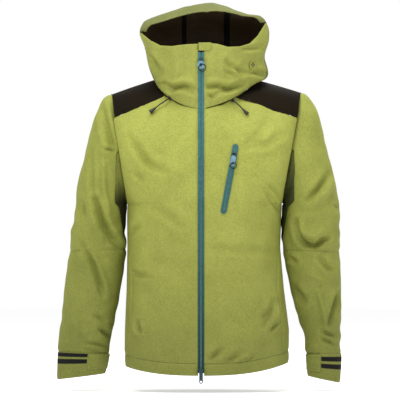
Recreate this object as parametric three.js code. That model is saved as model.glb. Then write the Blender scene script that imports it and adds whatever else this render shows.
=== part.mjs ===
// A hardshell jacket hanging closed, as separate panels, zips, tabs and cords.
// Millimetres, +Z up, the front faces -Y, and +X is the wearer's left.
import * as THREE from 'three';

// Overall sizes. Heights are measured from the front hem.
const FRONT_DEPTH = 140;
const BACK_DEPTH = 140;
const ARMPIT_Z = 402;
const SHOULDER_Z = 660;
const NECK_FRONT_Z = 624;
const NECK_RIDGE_Z = 699;
const NAPE_DEPTH = 60;
const NAPE_DROP = 9;
const HOOD_TOP_Z = 873;
const LOOP_TOP_Z = 716;
const LOOP_Y = NAPE_DEPTH - 12;

// Cloth, seams and gaps.
const CLOTH = 1.4;
const BAND = 2.4;
const SEAM = 0.5;
const YOKE_GAP = CLOTH + 1.1;
const YOKE_NAPE_ANGLE = 50;
const FIT = 0.6;
const LINING_GAP = 3.2;
const SECTION_POWER = 2.6;
const ARMHOLE_DEPTH = 80;
const HEM_HEIGHT = 28;
const SIDE_PANEL_ANGLE = 25;
const SEAM_ANGLE = 1.1;
const CHEST_FALL = 84.6;
const BACK_FALL = 80;
const FALL_START_Z = 540;

// Front zip.
const ZIP_OPENING = 14;
const COIL_WIDTH = 2.4;
const COIL_PITCH = 15;
const TAPE_THICKNESS = 1.2;
const STORM_FLAP_WIDTH = 26;
const ZIP_BOTTOM_Z = 6;
const ZIP_TOP_Z = 757;
const SLIDER = { width: 9, height: 14, depth: 4.6 };
const TOP_SLIDER_Z = 738;
const LOWER_SLIDER_Z = 12;
const PULL_DISC_RADIUS = 9.4;
const PULL_THICKNESS = 2;
const PULL_GAP = 1;

// Chest zip.
const CHEST_TOP = new THREE.Vector2(81.8, 541.4);
const CHEST_FOOT = new THREE.Vector2(51.5, 378.8);
const CHEST_TAPE_WIDTH = 14;
const CHEST_FACE_Y = -FRONT_DEPTH - 2.4;
const CHEST_SLIDER_AT = 26.4;

// Cuffs.
const TAB_THICKNESS = 2;
const STRIP_THICKNESS = 1;

// One side of the body: half widths by height, and the sleeve's outer and inner edges from the
// armhole to the cuff, as [outward, height].
const RIGHT = {
  name: 'right',
  sign: -1,
  hemRise: 19,
  strips: [[0.06, 0.22], [0.31, 0.48]],
  neck: 107,
  neckPower: 0.82,
  collarTop: [[7, 776], [33, 775], [70, 771], [96, 774], [120, 789], [141, 811], [146, 816]],
  halfWidths: [[0, 178], [60, 180], [106, 179], [200, 175], [300, 173], [ARMPIT_Z, 174], [SHOULDER_Z, 212]],
  yokeEdge: [[0, 624], [12, 625], [47, 634], [82, 656], [129, 636], [167, 619], [212, 602]],
  sleeve: [
    [[215, 660], [178, 402]],
    [[231, 649], [178.4, 400.5]],
    [[246, 616], [178.3, 399.5]],
    [[261, 566], [178.2, 398.7]],
    [[276, 510], [178.1, 398]],
    [[289, 451], [178, 397.3]],
    [[296, 396], [177.8, 396.5]],
    [[303, 341], [177.5, 345]],
    [[309, 292], [179, 296]],
    [[320, 216], [187, 224]],
    [[329, 129], [203, 139]],
    [[335, 73], [215, 80]],
    [[337, 54], [217, 50]],
    [[340, -13], [226, 1]],
  ],
};
const LEFT = {
  name: 'left',
  sign: 1,
  hemRise: 28,
  strips: [[0.14, 0.31], [0.41, 0.57]],
  neck: 127,
  neckPower: 0.66,
  collarTop: [[7, 779], [38, 776], [63, 769], [92, 770], [115, 777], [134, 795], [153, 825]],
  halfWidths: [[0, 206], [106, 207], [200, 195], [300, 186], [ARMPIT_Z, 190], [SHOULDER_Z, 237]],
  yokeEdge: [[0, 624], [12, 625], [47, 634], [86, 658], [136, 639], [169, 622], [237, 602]],
  sleeve: [
    [[240, 664], [196, 404]],
    [[254, 652], [195.8, 402.5]],
    [[269, 631], [195.5, 401.5]],
    [[280, 592], [195.2, 400.8]],
    [[290, 552], [194.9, 400.1]],
    [[303, 505], [194.6, 399.5]],
    [[317, 446], [194.3, 398.9]],
    [[327, 394], [194, 398]],
    [[328, 341], [192.5, 345]],
    [[326, 292], [193.5, 292]],
    [[329, 230], [204, 237]],
    [[331, 148], [226, 148]],
    [[328, 90], [244, 96]],
    [[331, 50], [249, 50]],
    [[328, -21], [252, -5]],
  ],
};
const SIDES = [RIGHT, LEFT];

// The hood's front outline from the wearer's right neck over the crown to the left neck.
const HOOD_ARCH = [
  [-107, 700], [-120, 722], [-128, 745], [-135, 775], [-145, 806], [-133, 831], [-97, 846],
  [-49, 862], [0, 873], [30, 873], [58, 865], [104, 850], [140, 844], [155, 828],
  [160, 790], [151, 752], [158, 711], [127, 700],
];
const HOOD_RIM_Z = 700;
const HOOD_DRAWN_HEIGHT = 173;
// Heights drawn for the hood's own height move with it when its top is set higher or lower.
const raised = (z) => HOOD_RIM_Z + ((z - HOOD_RIM_Z) * (HOOD_TOP_Z - HOOD_RIM_Z)) / HOOD_DRAWN_HEIGHT;
const HOOD_FRONT_Y = -60;
const HOOD_MIDDLE_X = 10;
const HOOD_REACH = 178;
const HOOD_SEAMS = [0.31, 0.69];
const BRIM_CORNERS = [0.24, 0.76];
const BRIM_DROP = [[0, 2], [0.15, 12], [0.3, 16], [0.5, 21], [0.62, 14], [0.75, 5], [1, 2]];

// Half the underarm gusset's width, in degrees round the sleeve, by share of the sleeve's length.
const GUSSET_HALF = [[0, 88], [0.08, 76], [0.2, 62], [0.42, 52], [0.56, 22], [0.62, 2]];

// Colours.
const SHELL_GREEN = 0x9fa650;
const DARK_BROWN = 0x29251c;
const ZIP_BLUE = 0x2f6474;
const PULL_BLUE = 0x7f95a6;
const TAPE_BLACK = 0x141412;

const clamp01 = (t) => Math.min(1, Math.max(0, t));
const mix = (a, b, t) => a + (b - a) * t;
const radians = THREE.MathUtils.degToRad;

function smooth(low, high, value) {
  const t = clamp01((value - low) / (high - low));
  return t * t * (3 - 2 * t);
}

function along(table, at) {
  const last = table.length - 1;
  const next = table.findIndex(([start]) => start > at);
  const k = next < 0 ? last : Math.max(1, next);
  const [[a, low], [b, high]] = [table[k - 1], table[k]];
  return mix(low, high, clamp01((at - a) / (b - a)));
}

const fabric = (color) => new THREE.MeshStandardMaterial({ color, roughness: 0.85, metalness: 0 });
const plastic = (color) => new THREE.MeshStandardMaterial({ color, roughness: 0.45, metalness: 0 });
const metal = (color) => new THREE.MeshStandardMaterial({ color, roughness: 0.35, metalness: 0.8 });

// The origin is where the hanger loop rests on its hook.
const jacket = new THREE.Group();
jacket.position.set(0, -LOOP_Y, -LOOP_TOP_Z);

function addPart(name, geometry, material) {
  const mesh = new THREE.Mesh(geometry, material);
  mesh.name = name;
  jacket.add(mesh);
  return mesh;
}

// A closed solid from two grids of points that face each other, joined around their edges.
function solidFromGrids(outer, inner, wraps) {
  const rows = outer.length;
  const columns = outer[0].length;
  const positions = [...outer.flat(), ...inner.flat()].flatMap((p) => [p.x, p.y, p.z]);
  const indices = [];
  const at = (row, column) => row * columns + (column % columns);
  const under = rows * columns;
  const quad = (a, b, c, d) => indices.push(a, b, c, a, c, d);
  const spans = wraps ? columns : columns - 1;
  for (let row = 0; row < rows - 1; row += 1) {
    for (let column = 0; column < spans; column += 1) {
      const corners = [at(row, column), at(row, column + 1), at(row + 1, column + 1), at(row + 1, column)];
      quad(...corners);
      quad(...corners.map((corner) => corner + under).reverse());
    }
  }
  for (let column = 0; column < spans; column += 1) {
    const first = [at(0, column), at(0, column + 1)];
    const last = [at(rows - 1, column + 1), at(rows - 1, column)];
    quad(first[1], first[0], first[0] + under, first[1] + under);
    quad(last[1], last[0], last[0] + under, last[1] + under);
  }
  if (!wraps) {
    for (let row = 0; row < rows - 1; row += 1) {
      quad(at(row, 0), at(row + 1, 0), at(row + 1, 0) + under, at(row, 0) + under);
      const end = [at(row + 1, columns - 1), at(row, columns - 1)];
      quad(end[0], end[1], end[1] + under, end[0] + under);
    }
  }
  const geometry = new THREE.BufferGeometry();
  geometry.setAttribute('position', new THREE.Float32BufferAttribute(positions, 3));
  geometry.setIndex(volumeOf(positions, indices) < 0 ? indices.reverse() : indices);
  geometry.computeVertexNormals();
  return geometry;
}

function volumeOf(positions, indices) {
  let volume = 0;
  const corner = (k) => new THREE.Vector3().fromArray(positions, 3 * indices[k]);
  for (let k = 0; k < indices.length; k += 3) {
    volume += corner(k).dot(corner(k + 1).cross(corner(k + 2)));
  }
  return volume / 6;
}

// The surface's normal at (u, v), pointing away from the given middle.
function normalAt(surface, u, v, middle) {
  const step = 1e-3;
  const across = surface(Math.min(1, u + step), v).sub(surface(Math.max(0, u - step), v));
  const up = surface(u, Math.min(1, v + step)).sub(surface(u, Math.max(0, v - step)));
  const normal = across.cross(up).normalize();
  return normal.dot(surface(u, v).sub(middle)) < 0 ? normal.negate() : normal;
}

const TORSO_MIDDLE = new THREE.Vector3(0, 0, 400);

// A piece of cloth cut from a surface, from `lift` over it to `lift - thickness`.
function clothPatch(surface, columns, rows, thickness, { lift = 0, middle = TORSO_MIDDLE } = {}) {
  const outer = [];
  const inner = [];
  for (let row = 0; row <= rows; row += 1) {
    const v = row / rows;
    const faces = Array.from({ length: columns + 1 }, (_, k) => {
      const point = surface(k / columns, v);
      return { point, normal: normalAt(surface, k / columns, v, middle) };
    });
    outer.push(faces.map(({ point, normal }) => point.clone().addScaledVector(normal, lift)));
    inner.push(faces.map(({ point, normal }) => point.clone().addScaledVector(normal, lift - thickness)));
  }
  return solidFromGrids(outer, inner, false);
}

// Torso.

function armholeHalf(side, z) {
  const [[, top], [, foot]] = side.sleeve[0];
  const share = (2 * z - top - foot) / (top - foot);
  return ARMHOLE_DEPTH * Math.sqrt(Math.max(0, 1 - share * share));
}

// angle runs from -90 at the front centre, through 0 at the side, to 90 at the back centre.
function torsoPoint(side, angle, z) {
  const turn = radians(angle);
  const width = along(side.halfWidths, z);
  const edge = z > ARMPIT_Z ? armholeHalf(side, z) : 0;
  const out = width * Math.cos(turn) ** (2 / SECTION_POWER);
  const bulge = Math.abs(Math.sin(turn)) ** (2 / SECTION_POWER);
  const front = angle < 0;
  const rise = Math.max(0, z - FALL_START_Z) / (NECK_RIDGE_Z - FALL_START_Z);
  const fall = (front ? CHEST_FALL * smooth(7, side.neck * 0.8, out) : BACK_FALL) * rise * rise;
  const depth = edge + ((front ? FRONT_DEPTH : BACK_DEPTH) - edge - fall) * bulge;
  return new THREE.Vector3(side.sign * out, front ? -depth : depth, z);
}

// The angle at which the torso is a given distance out from the zip.
function angleAt(side, out, z) {
  const share = Math.min(1, out / along(side.halfWidths, z));
  return -THREE.MathUtils.radToDeg(Math.acos(share ** (SECTION_POWER / 2)));
}

function sideAngle(z) {
  return SIDE_PANEL_ANGLE * (1 - smooth(200, ARMPIT_Z - 6, z)) + 0.6;
}

const hemLine = (side, angle) => side.hemRise * Math.cos(radians(angle)) ** 2;

function frontPanelSurface(side, inset = 0) {
  return (u, v) => {
    const guess = mix(-90, 0, u);
    const out = along(side.halfWidths, NECK_FRONT_Z) * Math.cos(radians(guess)) ** (2 / SECTION_POWER);
    const top = along(side.yokeEdge, Math.max(out, ZIP_OPENING / 2)) - SEAM - inset;
    const foot = hemLine(side, mix(-89, -SIDE_PANEL_ANGLE, u)) + HEM_HEIGHT + SEAM;
    const z = mix(foot, top, v);
    const zipEdge = angleAt(side, ZIP_OPENING / 2 + SEAM, z);
    const sideEdge = z < ARMPIT_Z ? -sideAngle(z) - SEAM_ANGLE : -0.3;
    return torsoPoint(side, mix(zipEdge, sideEdge, u), z);
  };
}

function hemSurface(side, start, end, inset = 0) {
  return (u, v) => {
    const angle = mix(start, end, u);
    const foot = hemLine(side, angle);
    return torsoPoint(side, angle, mix(foot, foot + HEM_HEIGHT - inset, v));
  };
}

function backEdge(side, out) {
  const corner = along(side.yokeEdge, 1e4) - 4;
  return along([[0, 688], [60, 686], [side.neck - 5, 670], [side.neck + 110, corner]], out);
}

function backPanelSurface() {
  return (u, v) => {
    const side = u < 0.5 ? RIGHT : LEFT;
    const share = u < 0.5 ? 1 - 2 * u : 2 * u - 1;
    const guess = mix(90, 0, share);
    const out = along(side.halfWidths, NECK_FRONT_Z) * Math.cos(radians(guess)) ** (2 / SECTION_POWER);
    const foot = hemLine(side, mix(90, SIDE_PANEL_ANGLE, share)) + HEM_HEIGHT + SEAM;
    const z = mix(foot, backEdge(side, out) - SEAM, v);
    const sideEdge = z < ARMPIT_Z ? sideAngle(z) + SEAM_ANGLE : 0.3;
    return torsoPoint(side, mix(90, sideEdge, share), z);
  };
}

function backHemSurface(u, v) {
  const side = u < 0.5 ? RIGHT : LEFT;
  const angle = u < 0.5 ? mix(0.6, 90, 2 * u) : mix(90, 0.6, 2 * u - 1);
  const foot = hemLine(side, angle);
  return torsoPoint(side, angle, mix(foot, foot + HEM_HEIGHT, v));
}

function sidePanelSurface(side) {
  return (u, v) => {
    const foot = hemLine(side, mix(-SIDE_PANEL_ANGLE, SIDE_PANEL_ANGLE, u)) + HEM_HEIGHT + SEAM;
    const z = mix(foot, ARMPIT_Z - 4, v);
    return torsoPoint(side, mix(-sideAngle(z), sideAngle(z), u), z);
  };
}

function yokeSurface(side) {
  const [armTop] = side.sleeve[0];
  const inner = side.yokeEdge[3][0];
  const outer = along(side.halfWidths, SHOULDER_Z) - SEAM;
  return (u, v) => {
    const low = mix(inner, outer - 4, u);
    const front = v < 0.5;
    const start = (front ? along(side.yokeEdge, low) : backEdge(side, low)) + YOKE_GAP;
    const edge = torsoPoint(side, angleAt(side, low, start) * (front ? 1 : -1), start);
    const ridge = new THREE.Vector3(
      side.sign * mix(side.neck + SEAM, outer, u),
      0,
      mix(NECK_RIDGE_Z, armTop[1] - 1, u),
    );
    const turn = radians(90 * (front ? 2 * v : 2 - 2 * v));
    const rolled = new THREE.Vector3(
      mix(edge.x, ridge.x, Math.sin(turn)),
      edge.y * Math.cos(turn),
      mix(edge.z, ridge.z, Math.sin(turn)),
    );
    return rolled.addScaledVector(neckPull(side, inner, v), (1 - u) ** 2);
  };
}

// How far the yoke's inner edge is drawn in to meet the neck seam.
function neckPull(side, inner, v) {
  const front = v < 0.5;
  const frontAngle = -THREE.MathUtils.radToDeg(Math.acos(inner / side.neck));
  const neckAngle = front ? mix(frontAngle, 0, 2 * v) : mix(0, YOKE_NAPE_ANGLE, 2 * v - 1);
  const neck = neckPoint(side, neckAngle).add(new THREE.Vector3(side.sign * YOKE_GAP, 0, -1));
  const turn = radians(90 * (front ? 2 * v : 2 - 2 * v));
  const start = (front ? along(side.yokeEdge, inner) : backEdge(side, inner)) + YOKE_GAP;
  const edge = torsoPoint(side, angleAt(side, inner, start) * (front ? 1 : -1), start);
  edge.x = mix(edge.x, side.sign * (side.neck + SEAM), Math.sin(turn));
  edge.y *= Math.cos(turn);
  edge.z = mix(edge.z, NECK_RIDGE_Z, Math.sin(turn));
  return neck.sub(edge);
}

function buildTorso() {
  for (const side of SIDES) {
    const front = clothPatch(frontPanelSurface(side), 12, 12, CLOTH);
    addPart(`${side.name}_front_panel`, front, fabric(SHELL_GREEN));
    addPart(`${side.name}_side_panel`, clothPatch(sidePanelSurface(side), 4, 10, CLOTH), fabric(SHELL_GREEN));
    addPart(`${side.name}_shoulder_yoke`, clothPatch(yokeSurface(side), 7, 12, CLOTH), fabric(DARK_BROWN));
    const hem = hemSurface(side, angleAt(side, ZIP_OPENING / 2 + SEAM, 10), -0.6);
    addPart(`${side.name}_hem_band`, clothPatch(hem, 12, 1, BAND), fabric(SHELL_GREEN));
  }
  addPart('back_panel', clothPatch(backPanelSurface(), 20, 12, CLOTH), fabric(SHELL_GREEN));
  addPart('back_hem_band', clothPatch(backHemSurface, 20, 1, BAND), fabric(SHELL_GREEN));
}

// Sleeves.

function edgeCurve(points) {
  const places = points.map(([out, z]) => new THREE.Vector3(out, 0, z));
  return new THREE.CatmullRomCurve3(places, false, 'centripetal');
}

function sleeveOf(side) {
  const last = side.sleeve.length - 1;
  const outer = edgeCurve(side.sleeve.map(([edge]) => edge));
  const inner = edgeCurve(side.sleeve.map(([, edge]) => edge));
  const depths = [[0, ARMHOLE_DEPTH], [0.45, 74], [0.7, 62], [0.85, 48], [1, 40]];
  // The sleeve's ring at `share` of its length; lift is how far out of the cloth the point is.
  return (angle, share, lift = 0) => {
    const o = outer.getPoint(share);
    const i = inner.getPoint(share);
    const half = o.clone().sub(i).multiplyScalar(0.5);
    const reach = half.length() + lift;
    const middle = o.add(i).multiplyScalar(0.5);
    const point = middle.addScaledVector(half.normalize(), reach * Math.cos(angle));
    point.y = -(along(depths, share) + lift) * Math.sin(angle);
    point.x *= side.sign;
    return point;
  };
}

const stationShare = (side, station) => station / (side.sleeve.length - 1);
const cuffStation = (side) => side.sleeve.length - 2;
const elbowStation = (side) => Math.round(side.sleeve.length * 0.6);

function sleeveTube(side, from, to, steps, { lift = 0, thickness = CLOTH, around = 20 } = {}) {
  const ring = sleeveOf(side);
  const gap = 0.0006;
  const grid = (depth) => Array.from({ length: steps + 1 }, (_, row) => {
    const share = mix(stationShare(side, from) + gap, stationShare(side, to) - gap, row / steps);
    return Array.from({ length: around }, (__, k) => ring((2 * Math.PI * k) / around, share, depth));
  });
  return solidFromGrids(grid(lift), grid(lift - thickness), true);
}

// The upper sleeve's panel, or the gusset that closes it under the arm.
function upperSleevePiece(side, isGusset) {
  const ring = sleeveOf(side);
  const end = stationShare(side, elbowStation(side)) - 0.001;
  const columns = isGusset ? 6 : 18;
  const grid = (depth) => Array.from({ length: 13 }, (_, row) => {
    const share = mix(0.001, end, row / 12);
    const half = along(GUSSET_HALF, share);
    const [from, to] = isGusset ? [180 - half, 180 + half] : [half - 179, 179 - half];
    const at = (k) => ring(radians(mix(from, to, k / columns)), share, depth);
    return Array.from({ length: columns + 1 }, (__, k) => at(k));
  });
  return solidFromGrids(grid(0), grid(-CLOTH), false);
}

// A curved plate lying on the cuff, between two angles and two shares of the cuff's height.
function cuffPlate(side, angles, shares, lift, thickness) {
  const ring = sleeveOf(side);
  const start = stationShare(side, cuffStation(side));
  const at = (u, v, depth) => {
    const share = mix(start, 1, mix(shares[0], shares[1], v));
    return ring(radians(mix(angles[0], angles[1], u)), share, depth);
  };
  const grid = (depth) => [0, 1].map((v) => Array.from({ length: 10 }, (_, k) => at(k / 9, v, depth)));
  return solidFromGrids(grid(lift), grid(lift - thickness), false);
}

function buildSleeve(side) {
  const elbow = elbowStation(side);
  const cuff = cuffStation(side);
  addPart(`${side.name}_upper_sleeve`, upperSleevePiece(side, false), fabric(SHELL_GREEN));
  addPart(`${side.name}_underarm_gusset`, upperSleevePiece(side, true), fabric(SHELL_GREEN));
  addPart(`${side.name}_lower_sleeve`, sleeveTube(side, elbow, cuff, 5), fabric(SHELL_GREEN));
  addPart(`${side.name}_cuff`, sleeveTube(side, cuff, cuff + 1, 1, { thickness: BAND }), fabric(SHELL_GREEN));
  const stripLift = FIT + STRIP_THICKNESS;
  side.strips.forEach((shares, k) => {
    const strip = cuffPlate(side, [100, 4], shares, stripLift, STRIP_THICKNESS);
    addPart(`${side.name}_cuff_strip_${['upper', 'lower'][k]}`, strip, fabric(TAPE_BLACK));
  });
  const tabLift = FIT + TAB_THICKNESS;
  const tab = cuffPlate(side, [176, 103], [0.06, 0.74], tabLift, TAB_THICKNESS);
  addPart(`${side.name}_cuff_tab`, tab, fabric(SHELL_GREEN));
}

// Collar and hood.

function neckPoint(side, angle) {
  const turn = radians(angle);
  const reach = Math.abs(Math.sin(turn));
  const front = angle < 0;
  const rise = (NECK_RIDGE_Z - NECK_FRONT_Z) * (1 - reach) ** side.neckPower;
  return new THREE.Vector3(
    side.sign * side.neck * Math.cos(turn),
    front ? -FRONT_DEPTH * reach ** 0.85 : NAPE_DEPTH * reach,
    front ? NECK_FRONT_Z + rise : NECK_RIDGE_Z - NAPE_DROP * reach,
  );
}

const COLLAR_SIDE_ANGLE = -22;

// From the zip round to the hood's front edge, which the collar's side edge follows up.
function collarSurface(side) {
  const corner = side.sign < 0 ? BRIM_CORNERS[0] - 0.005 : BRIM_CORNERS[1] + 0.005;
  const end = hoodPoint(corner, 0);
  const edgeAt = (v) => hoodPoint(side.sign < 0 ? corner * v : 1 - (1 - corner) * v, 0);
  const topAt = (u) => {
    const out = mix(ZIP_OPENING / 2 + SEAM, Math.abs(end.x), u);
    const round = (1 - u ** 2.4) ** 0.6;
    const height = raised(along(side.collarTop, out));
    return new THREE.Vector3(side.sign * out, mix(end.y, -FRONT_DEPTH, round), height);
  };
  const zipAngle = -THREE.MathUtils.radToDeg(Math.acos((ZIP_OPENING / 2 + SEAM) / side.neck));
  const footAt = (u) => neckPoint(side, mix(zipAngle, COLLAR_SIDE_ANGLE + 1, u));
  return (u, v) => {
    const point = footAt(u).lerp(topAt(u), v);
    const pull = edgeAt(v).sub(footAt(1).lerp(topAt(1), v));
    point.addScaledVector(pull, u ** 4);
    point.z += SEAM * (1 - v);
    return point;
  };
}

const archCurve = new THREE.CatmullRomCurve3(
  HOOD_ARCH.map(([x, z]) => new THREE.Vector3(x, 0, raised(z))),
  false,
  'centripetal',
);

// across runs from the right neck over the crown to the left neck; back from the opening to the nape.
function hoodPoint(across, back) {
  const arch = archCurve.getPoint(clamp01(across));
  const side = across < 0.5 ? RIGHT : LEFT;
  const seam = neckPoint(side, mix(COLLAR_SIDE_ANGLE + 1, 88, back));
  const rim = archCurve.getPoint(across < 0.5 ? 0 : 1);
  const shrink = Math.cos(radians(87 * back)) ** 0.7;
  const free = 1 - (1 - Math.sin(Math.PI * across)) ** 3;
  const reach = HOOD_FRONT_Y + HOOD_REACH * Math.sin(radians(125 * back));
  const shrunk = (value, middle) => middle + (value - middle) * shrink;
  return new THREE.Vector3(
    shrunk(arch.x, HOOD_MIDDLE_X) + (seam.x - shrunk(rim.x, HOOD_MIDDLE_X)) * (1 - free),
    mix(seam.y, reach, free),
    shrunk(arch.z, rim.z) + (seam.z + SEAM - rim.z) * (1 - free),
  );
}

function hoodSurface(from, to, gap = SEAM / 500) {
  return (u, v) => hoodPoint(mix(from + gap, to - gap, u), mix(0.012, 0.97, v));
}

function brimSurface(u, v) {
  const across = mix(BRIM_CORNERS[0], BRIM_CORNERS[1], u);
  const edge = hoodPoint(across, 0);
  const crown = Math.sin(Math.PI * u);
  edge.y -= v * mix(8, 34, crown);
  edge.x = mix(edge.x, 10, v * 0.1);
  edge.z -= v * along(BRIM_DROP, u);
  return edge;
}

function buildHood() {
  const middle = new THREE.Vector3(15, 20, 740);
  for (const side of SIDES) {
    const collar = clothPatch(collarSurface(side), 10, 6, CLOTH, { middle });
    addPart(`${side.name}_collar`, collar, fabric(SHELL_GREEN));
  }
  const panels = [['right', 0, HOOD_SEAMS[0]], ['center', ...HOOD_SEAMS], ['left', HOOD_SEAMS[1], 1]];
  for (const [place, from, to] of panels) {
    const panel = clothPatch(hoodSurface(from, to), 9, 11, CLOTH, { middle });
    addPart(`hood_${place}_panel`, panel, fabric(SHELL_GREEN));
  }
  const lining = clothPatch(hoodSurface(0.06, 0.94), 20, 9, 1, { middle, lift: -CLOTH - LINING_GAP });
  addPart('hood_lining', lining, fabric(DARK_BROWN));
  addPart('hood_brim', clothPatch(brimSurface, 20, 2, CLOTH, { middle }), fabric(SHELL_GREEN));
}

// Front zip.

function box(width, depth, height, x, y, z) {
  return new THREE.BoxGeometry(width, depth, height).translate(x, y, z);
}

function roundedPlate(outline, thickness) {
  return new THREE.ExtrudeGeometry(outline, { depth: thickness, bevelEnabled: false, curveSegments: 14 });
}

// A flat plate drawn in X and Z that stands with its front face at y.
function standing(outline, thickness, y) {
  return roundedPlate(outline, thickness).rotateX(Math.PI / 2).translate(0, y + thickness, 0);
}

function coilOutline() {
  const shape = new THREE.Shape();
  const teeth = Math.floor((ZIP_TOP_Z - ZIP_BOTTOM_Z) / COIL_PITCH);
  const half = COIL_WIDTH / 2;
  shape.moveTo(-half, ZIP_BOTTOM_Z);
  shape.lineTo(half, ZIP_BOTTOM_Z);
  for (let k = 0; k < teeth; k += 1) {
    const z = ZIP_BOTTOM_Z + k * COIL_PITCH;
    shape.lineTo(half, z + COIL_PITCH / 2);
    shape.lineTo(half * 0.5, z + COIL_PITCH * 0.75);
    shape.lineTo(half, z + COIL_PITCH);
  }
  shape.lineTo(-half, ZIP_BOTTOM_Z + teeth * COIL_PITCH);
  return shape;
}

function discPull() {
  const shape = new THREE.Shape();
  shape.absarc(0, -PULL_DISC_RADIUS - 2, PULL_DISC_RADIUS, 0, 2 * Math.PI);
  const hole = new THREE.Path();
  hole.absarc(0, -PULL_DISC_RADIUS - 2, PULL_DISC_RADIUS * 0.35, 0, 2 * Math.PI);
  shape.holes.push(hole);
  return shape;
}

function slotPull(width, length) {
  const shape = new THREE.Shape();
  const radius = width / 2;
  shape.absarc(0, -radius, radius, 0, Math.PI);
  shape.absarc(0, radius - length, radius, Math.PI, 2 * Math.PI);
  const hole = new THREE.Path();
  hole.absarc(0, radius - length, radius * 0.5, 0, 2 * Math.PI);
  shape.holes.push(hole);
  return shape;
}

const SLIDER_BACK_Y = -FRONT_DEPTH - FIT - TAPE_THICKNESS / 2 - 0.4;
const SLIDER_FRONT_Y = SLIDER_BACK_Y - SLIDER.depth;
const PULL_Y = SLIDER_FRONT_Y - PULL_GAP - PULL_THICKNESS;

function sliderBody() {
  const { width, height } = SLIDER;
  const shape = new THREE.Shape();
  shape.moveTo(-width * 0.3, -height / 2);
  shape.lineTo(width * 0.3, -height / 2);
  shape.lineTo(width / 2, height * 0.1);
  shape.absarc(width * 0.2, height * 0.2, width * 0.3, 0, Math.PI / 2);
  shape.absarc(-width * 0.2, height * 0.2, width * 0.3, Math.PI / 2, Math.PI);
  return shape;
}

function addSlider(name, z, pull, pullMaterial) {
  const slider = standing(sliderBody(), SLIDER.depth, SLIDER_FRONT_Y).translate(0, 0, z);
  addPart(`${name}_slider`, slider, metal(ZIP_BLUE));
  addPart(`${name}_pull`, standing(pull, PULL_THICKNESS, PULL_Y).translate(0, 0, z), pullMaterial);
}

function buildFrontZip() {
  const height = ZIP_TOP_Z - ZIP_BOTTOM_Z;
  const middle = (ZIP_TOP_Z + ZIP_BOTTOM_Z) / 2;
  const clear = COIL_WIDTH / 2 + 0.3;
  const tapeWidth = ZIP_OPENING / 2 - clear;
  const tapeY = -FRONT_DEPTH + TAPE_THICKNESS / 2;
  for (const side of SIDES) {
    const x = side.sign * (clear + tapeWidth / 2);
    const tape = box(tapeWidth, TAPE_THICKNESS, height, x, tapeY, middle);
    addPart(`${side.name}_zip_tape`, tape, fabric(ZIP_BLUE));
  }
  addPart('zip_coil', standing(coilOutline(), 1.6, -FRONT_DEPTH - 0.3), plastic(ZIP_BLUE));
  const flap = box(STORM_FLAP_WIDTH, CLOTH, height - 6, 0, -FRONT_DEPTH + 5, middle);
  addPart('storm_flap', flap, fabric(SHELL_GREEN));
  addSlider('top', TOP_SLIDER_Z, discPull(), plastic(PULL_BLUE));
  const loop = new THREE.TorusGeometry(8.5, 0.9, 8, 24).rotateX(Math.PI / 2);
  addPart('top_pull_loop', loop.translate(3, PULL_Y - 1.4, TOP_SLIDER_Z - 18), fabric(TAPE_BLACK));
  addSlider('lower', LOWER_SLIDER_Z, slotPull(9, 30), metal(PULL_BLUE));
  const guard = new THREE.Shape();
  guard.moveTo(-6, 760);
  guard.lineTo(20, 760);
  guard.quadraticCurveTo(25, 762, 24, 779);
  guard.lineTo(-6, 779);
  addPart('chin_guard', standing(guard, 2.4, -FRONT_DEPTH - 3.2), fabric(SHELL_GREEN));
}

// Chest pocket, slanted down to the middle.

function buildChestPocket() {
  const length = CHEST_TOP.distanceTo(CHEST_FOOT);
  const slant = Math.atan2(CHEST_TOP.x - CHEST_FOOT.x, CHEST_TOP.y - CHEST_FOOT.y);
  // Drawn hanging straight down from the top end, then leant to the zip's slant.
  const lean = (geometry) => geometry.rotateY(slant).translate(CHEST_TOP.x, 0, CHEST_TOP.y);
  const tapeY = CHEST_FACE_Y + 0.8;
  const half = CHEST_TAPE_WIDTH / 2;
  const slit = COIL_WIDTH / 2 + 0.3;
  const frame = new THREE.Shape();
  frame.absarc(0, -half, half, 0, Math.PI);
  frame.absarc(0, half - length, half, Math.PI, 2 * Math.PI);
  const gap = new THREE.Path();
  gap.absarc(0, -half, slit, 0, Math.PI);
  gap.absarc(0, half - length, slit, Math.PI, 2 * Math.PI);
  frame.holes.push(gap);
  addPart('chest_zip_tape', lean(standing(frame, 1.6, CHEST_FACE_Y)), fabric(ZIP_BLUE));
  const coil = box(COIL_WIDTH, 1.4, length - CHEST_TAPE_WIDTH, 0, tapeY, -length / 2);
  addPart('chest_zip_coil', lean(coil), plastic(ZIP_BLUE));
  const sliderY = CHEST_FACE_Y - FIT - SLIDER.depth;
  const slider = standing(sliderBody(), SLIDER.depth, sliderY).translate(0, 0, -CHEST_SLIDER_AT);
  addPart('chest_slider', lean(slider), metal(TAPE_BLACK));
  const pullY = sliderY - PULL_GAP - PULL_THICKNESS;
  const pull = standing(slotPull(12, 26), PULL_THICKNESS, pullY).translate(0, 0, -CHEST_SLIDER_AT);
  addPart('chest_pull', lean(pull), plastic(PULL_BLUE));
  const loop = new THREE.TorusGeometry(7, 0.9, 8, 20).rotateX(Math.PI / 2);
  addPart('chest_pull_loop', lean(loop.translate(3, pullY - 1.4, -CHEST_SLIDER_AT - 24)), fabric(TAPE_BLACK));
  const bag = (u, v) => {
    const z = mix(CHEST_FOOT.y - 20, CHEST_TOP.y + 10, v);
    return torsoPoint(LEFT, angleAt(LEFT, mix(34, 132, u), z), z);
  };
  addPart('chest_pocket_bag', clothPatch(bag, 6, 6, 1.2, { lift: -CLOTH - 2.4 }), fabric(DARK_BROWN));
}

// Drawcords, their exits and their ends.

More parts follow.
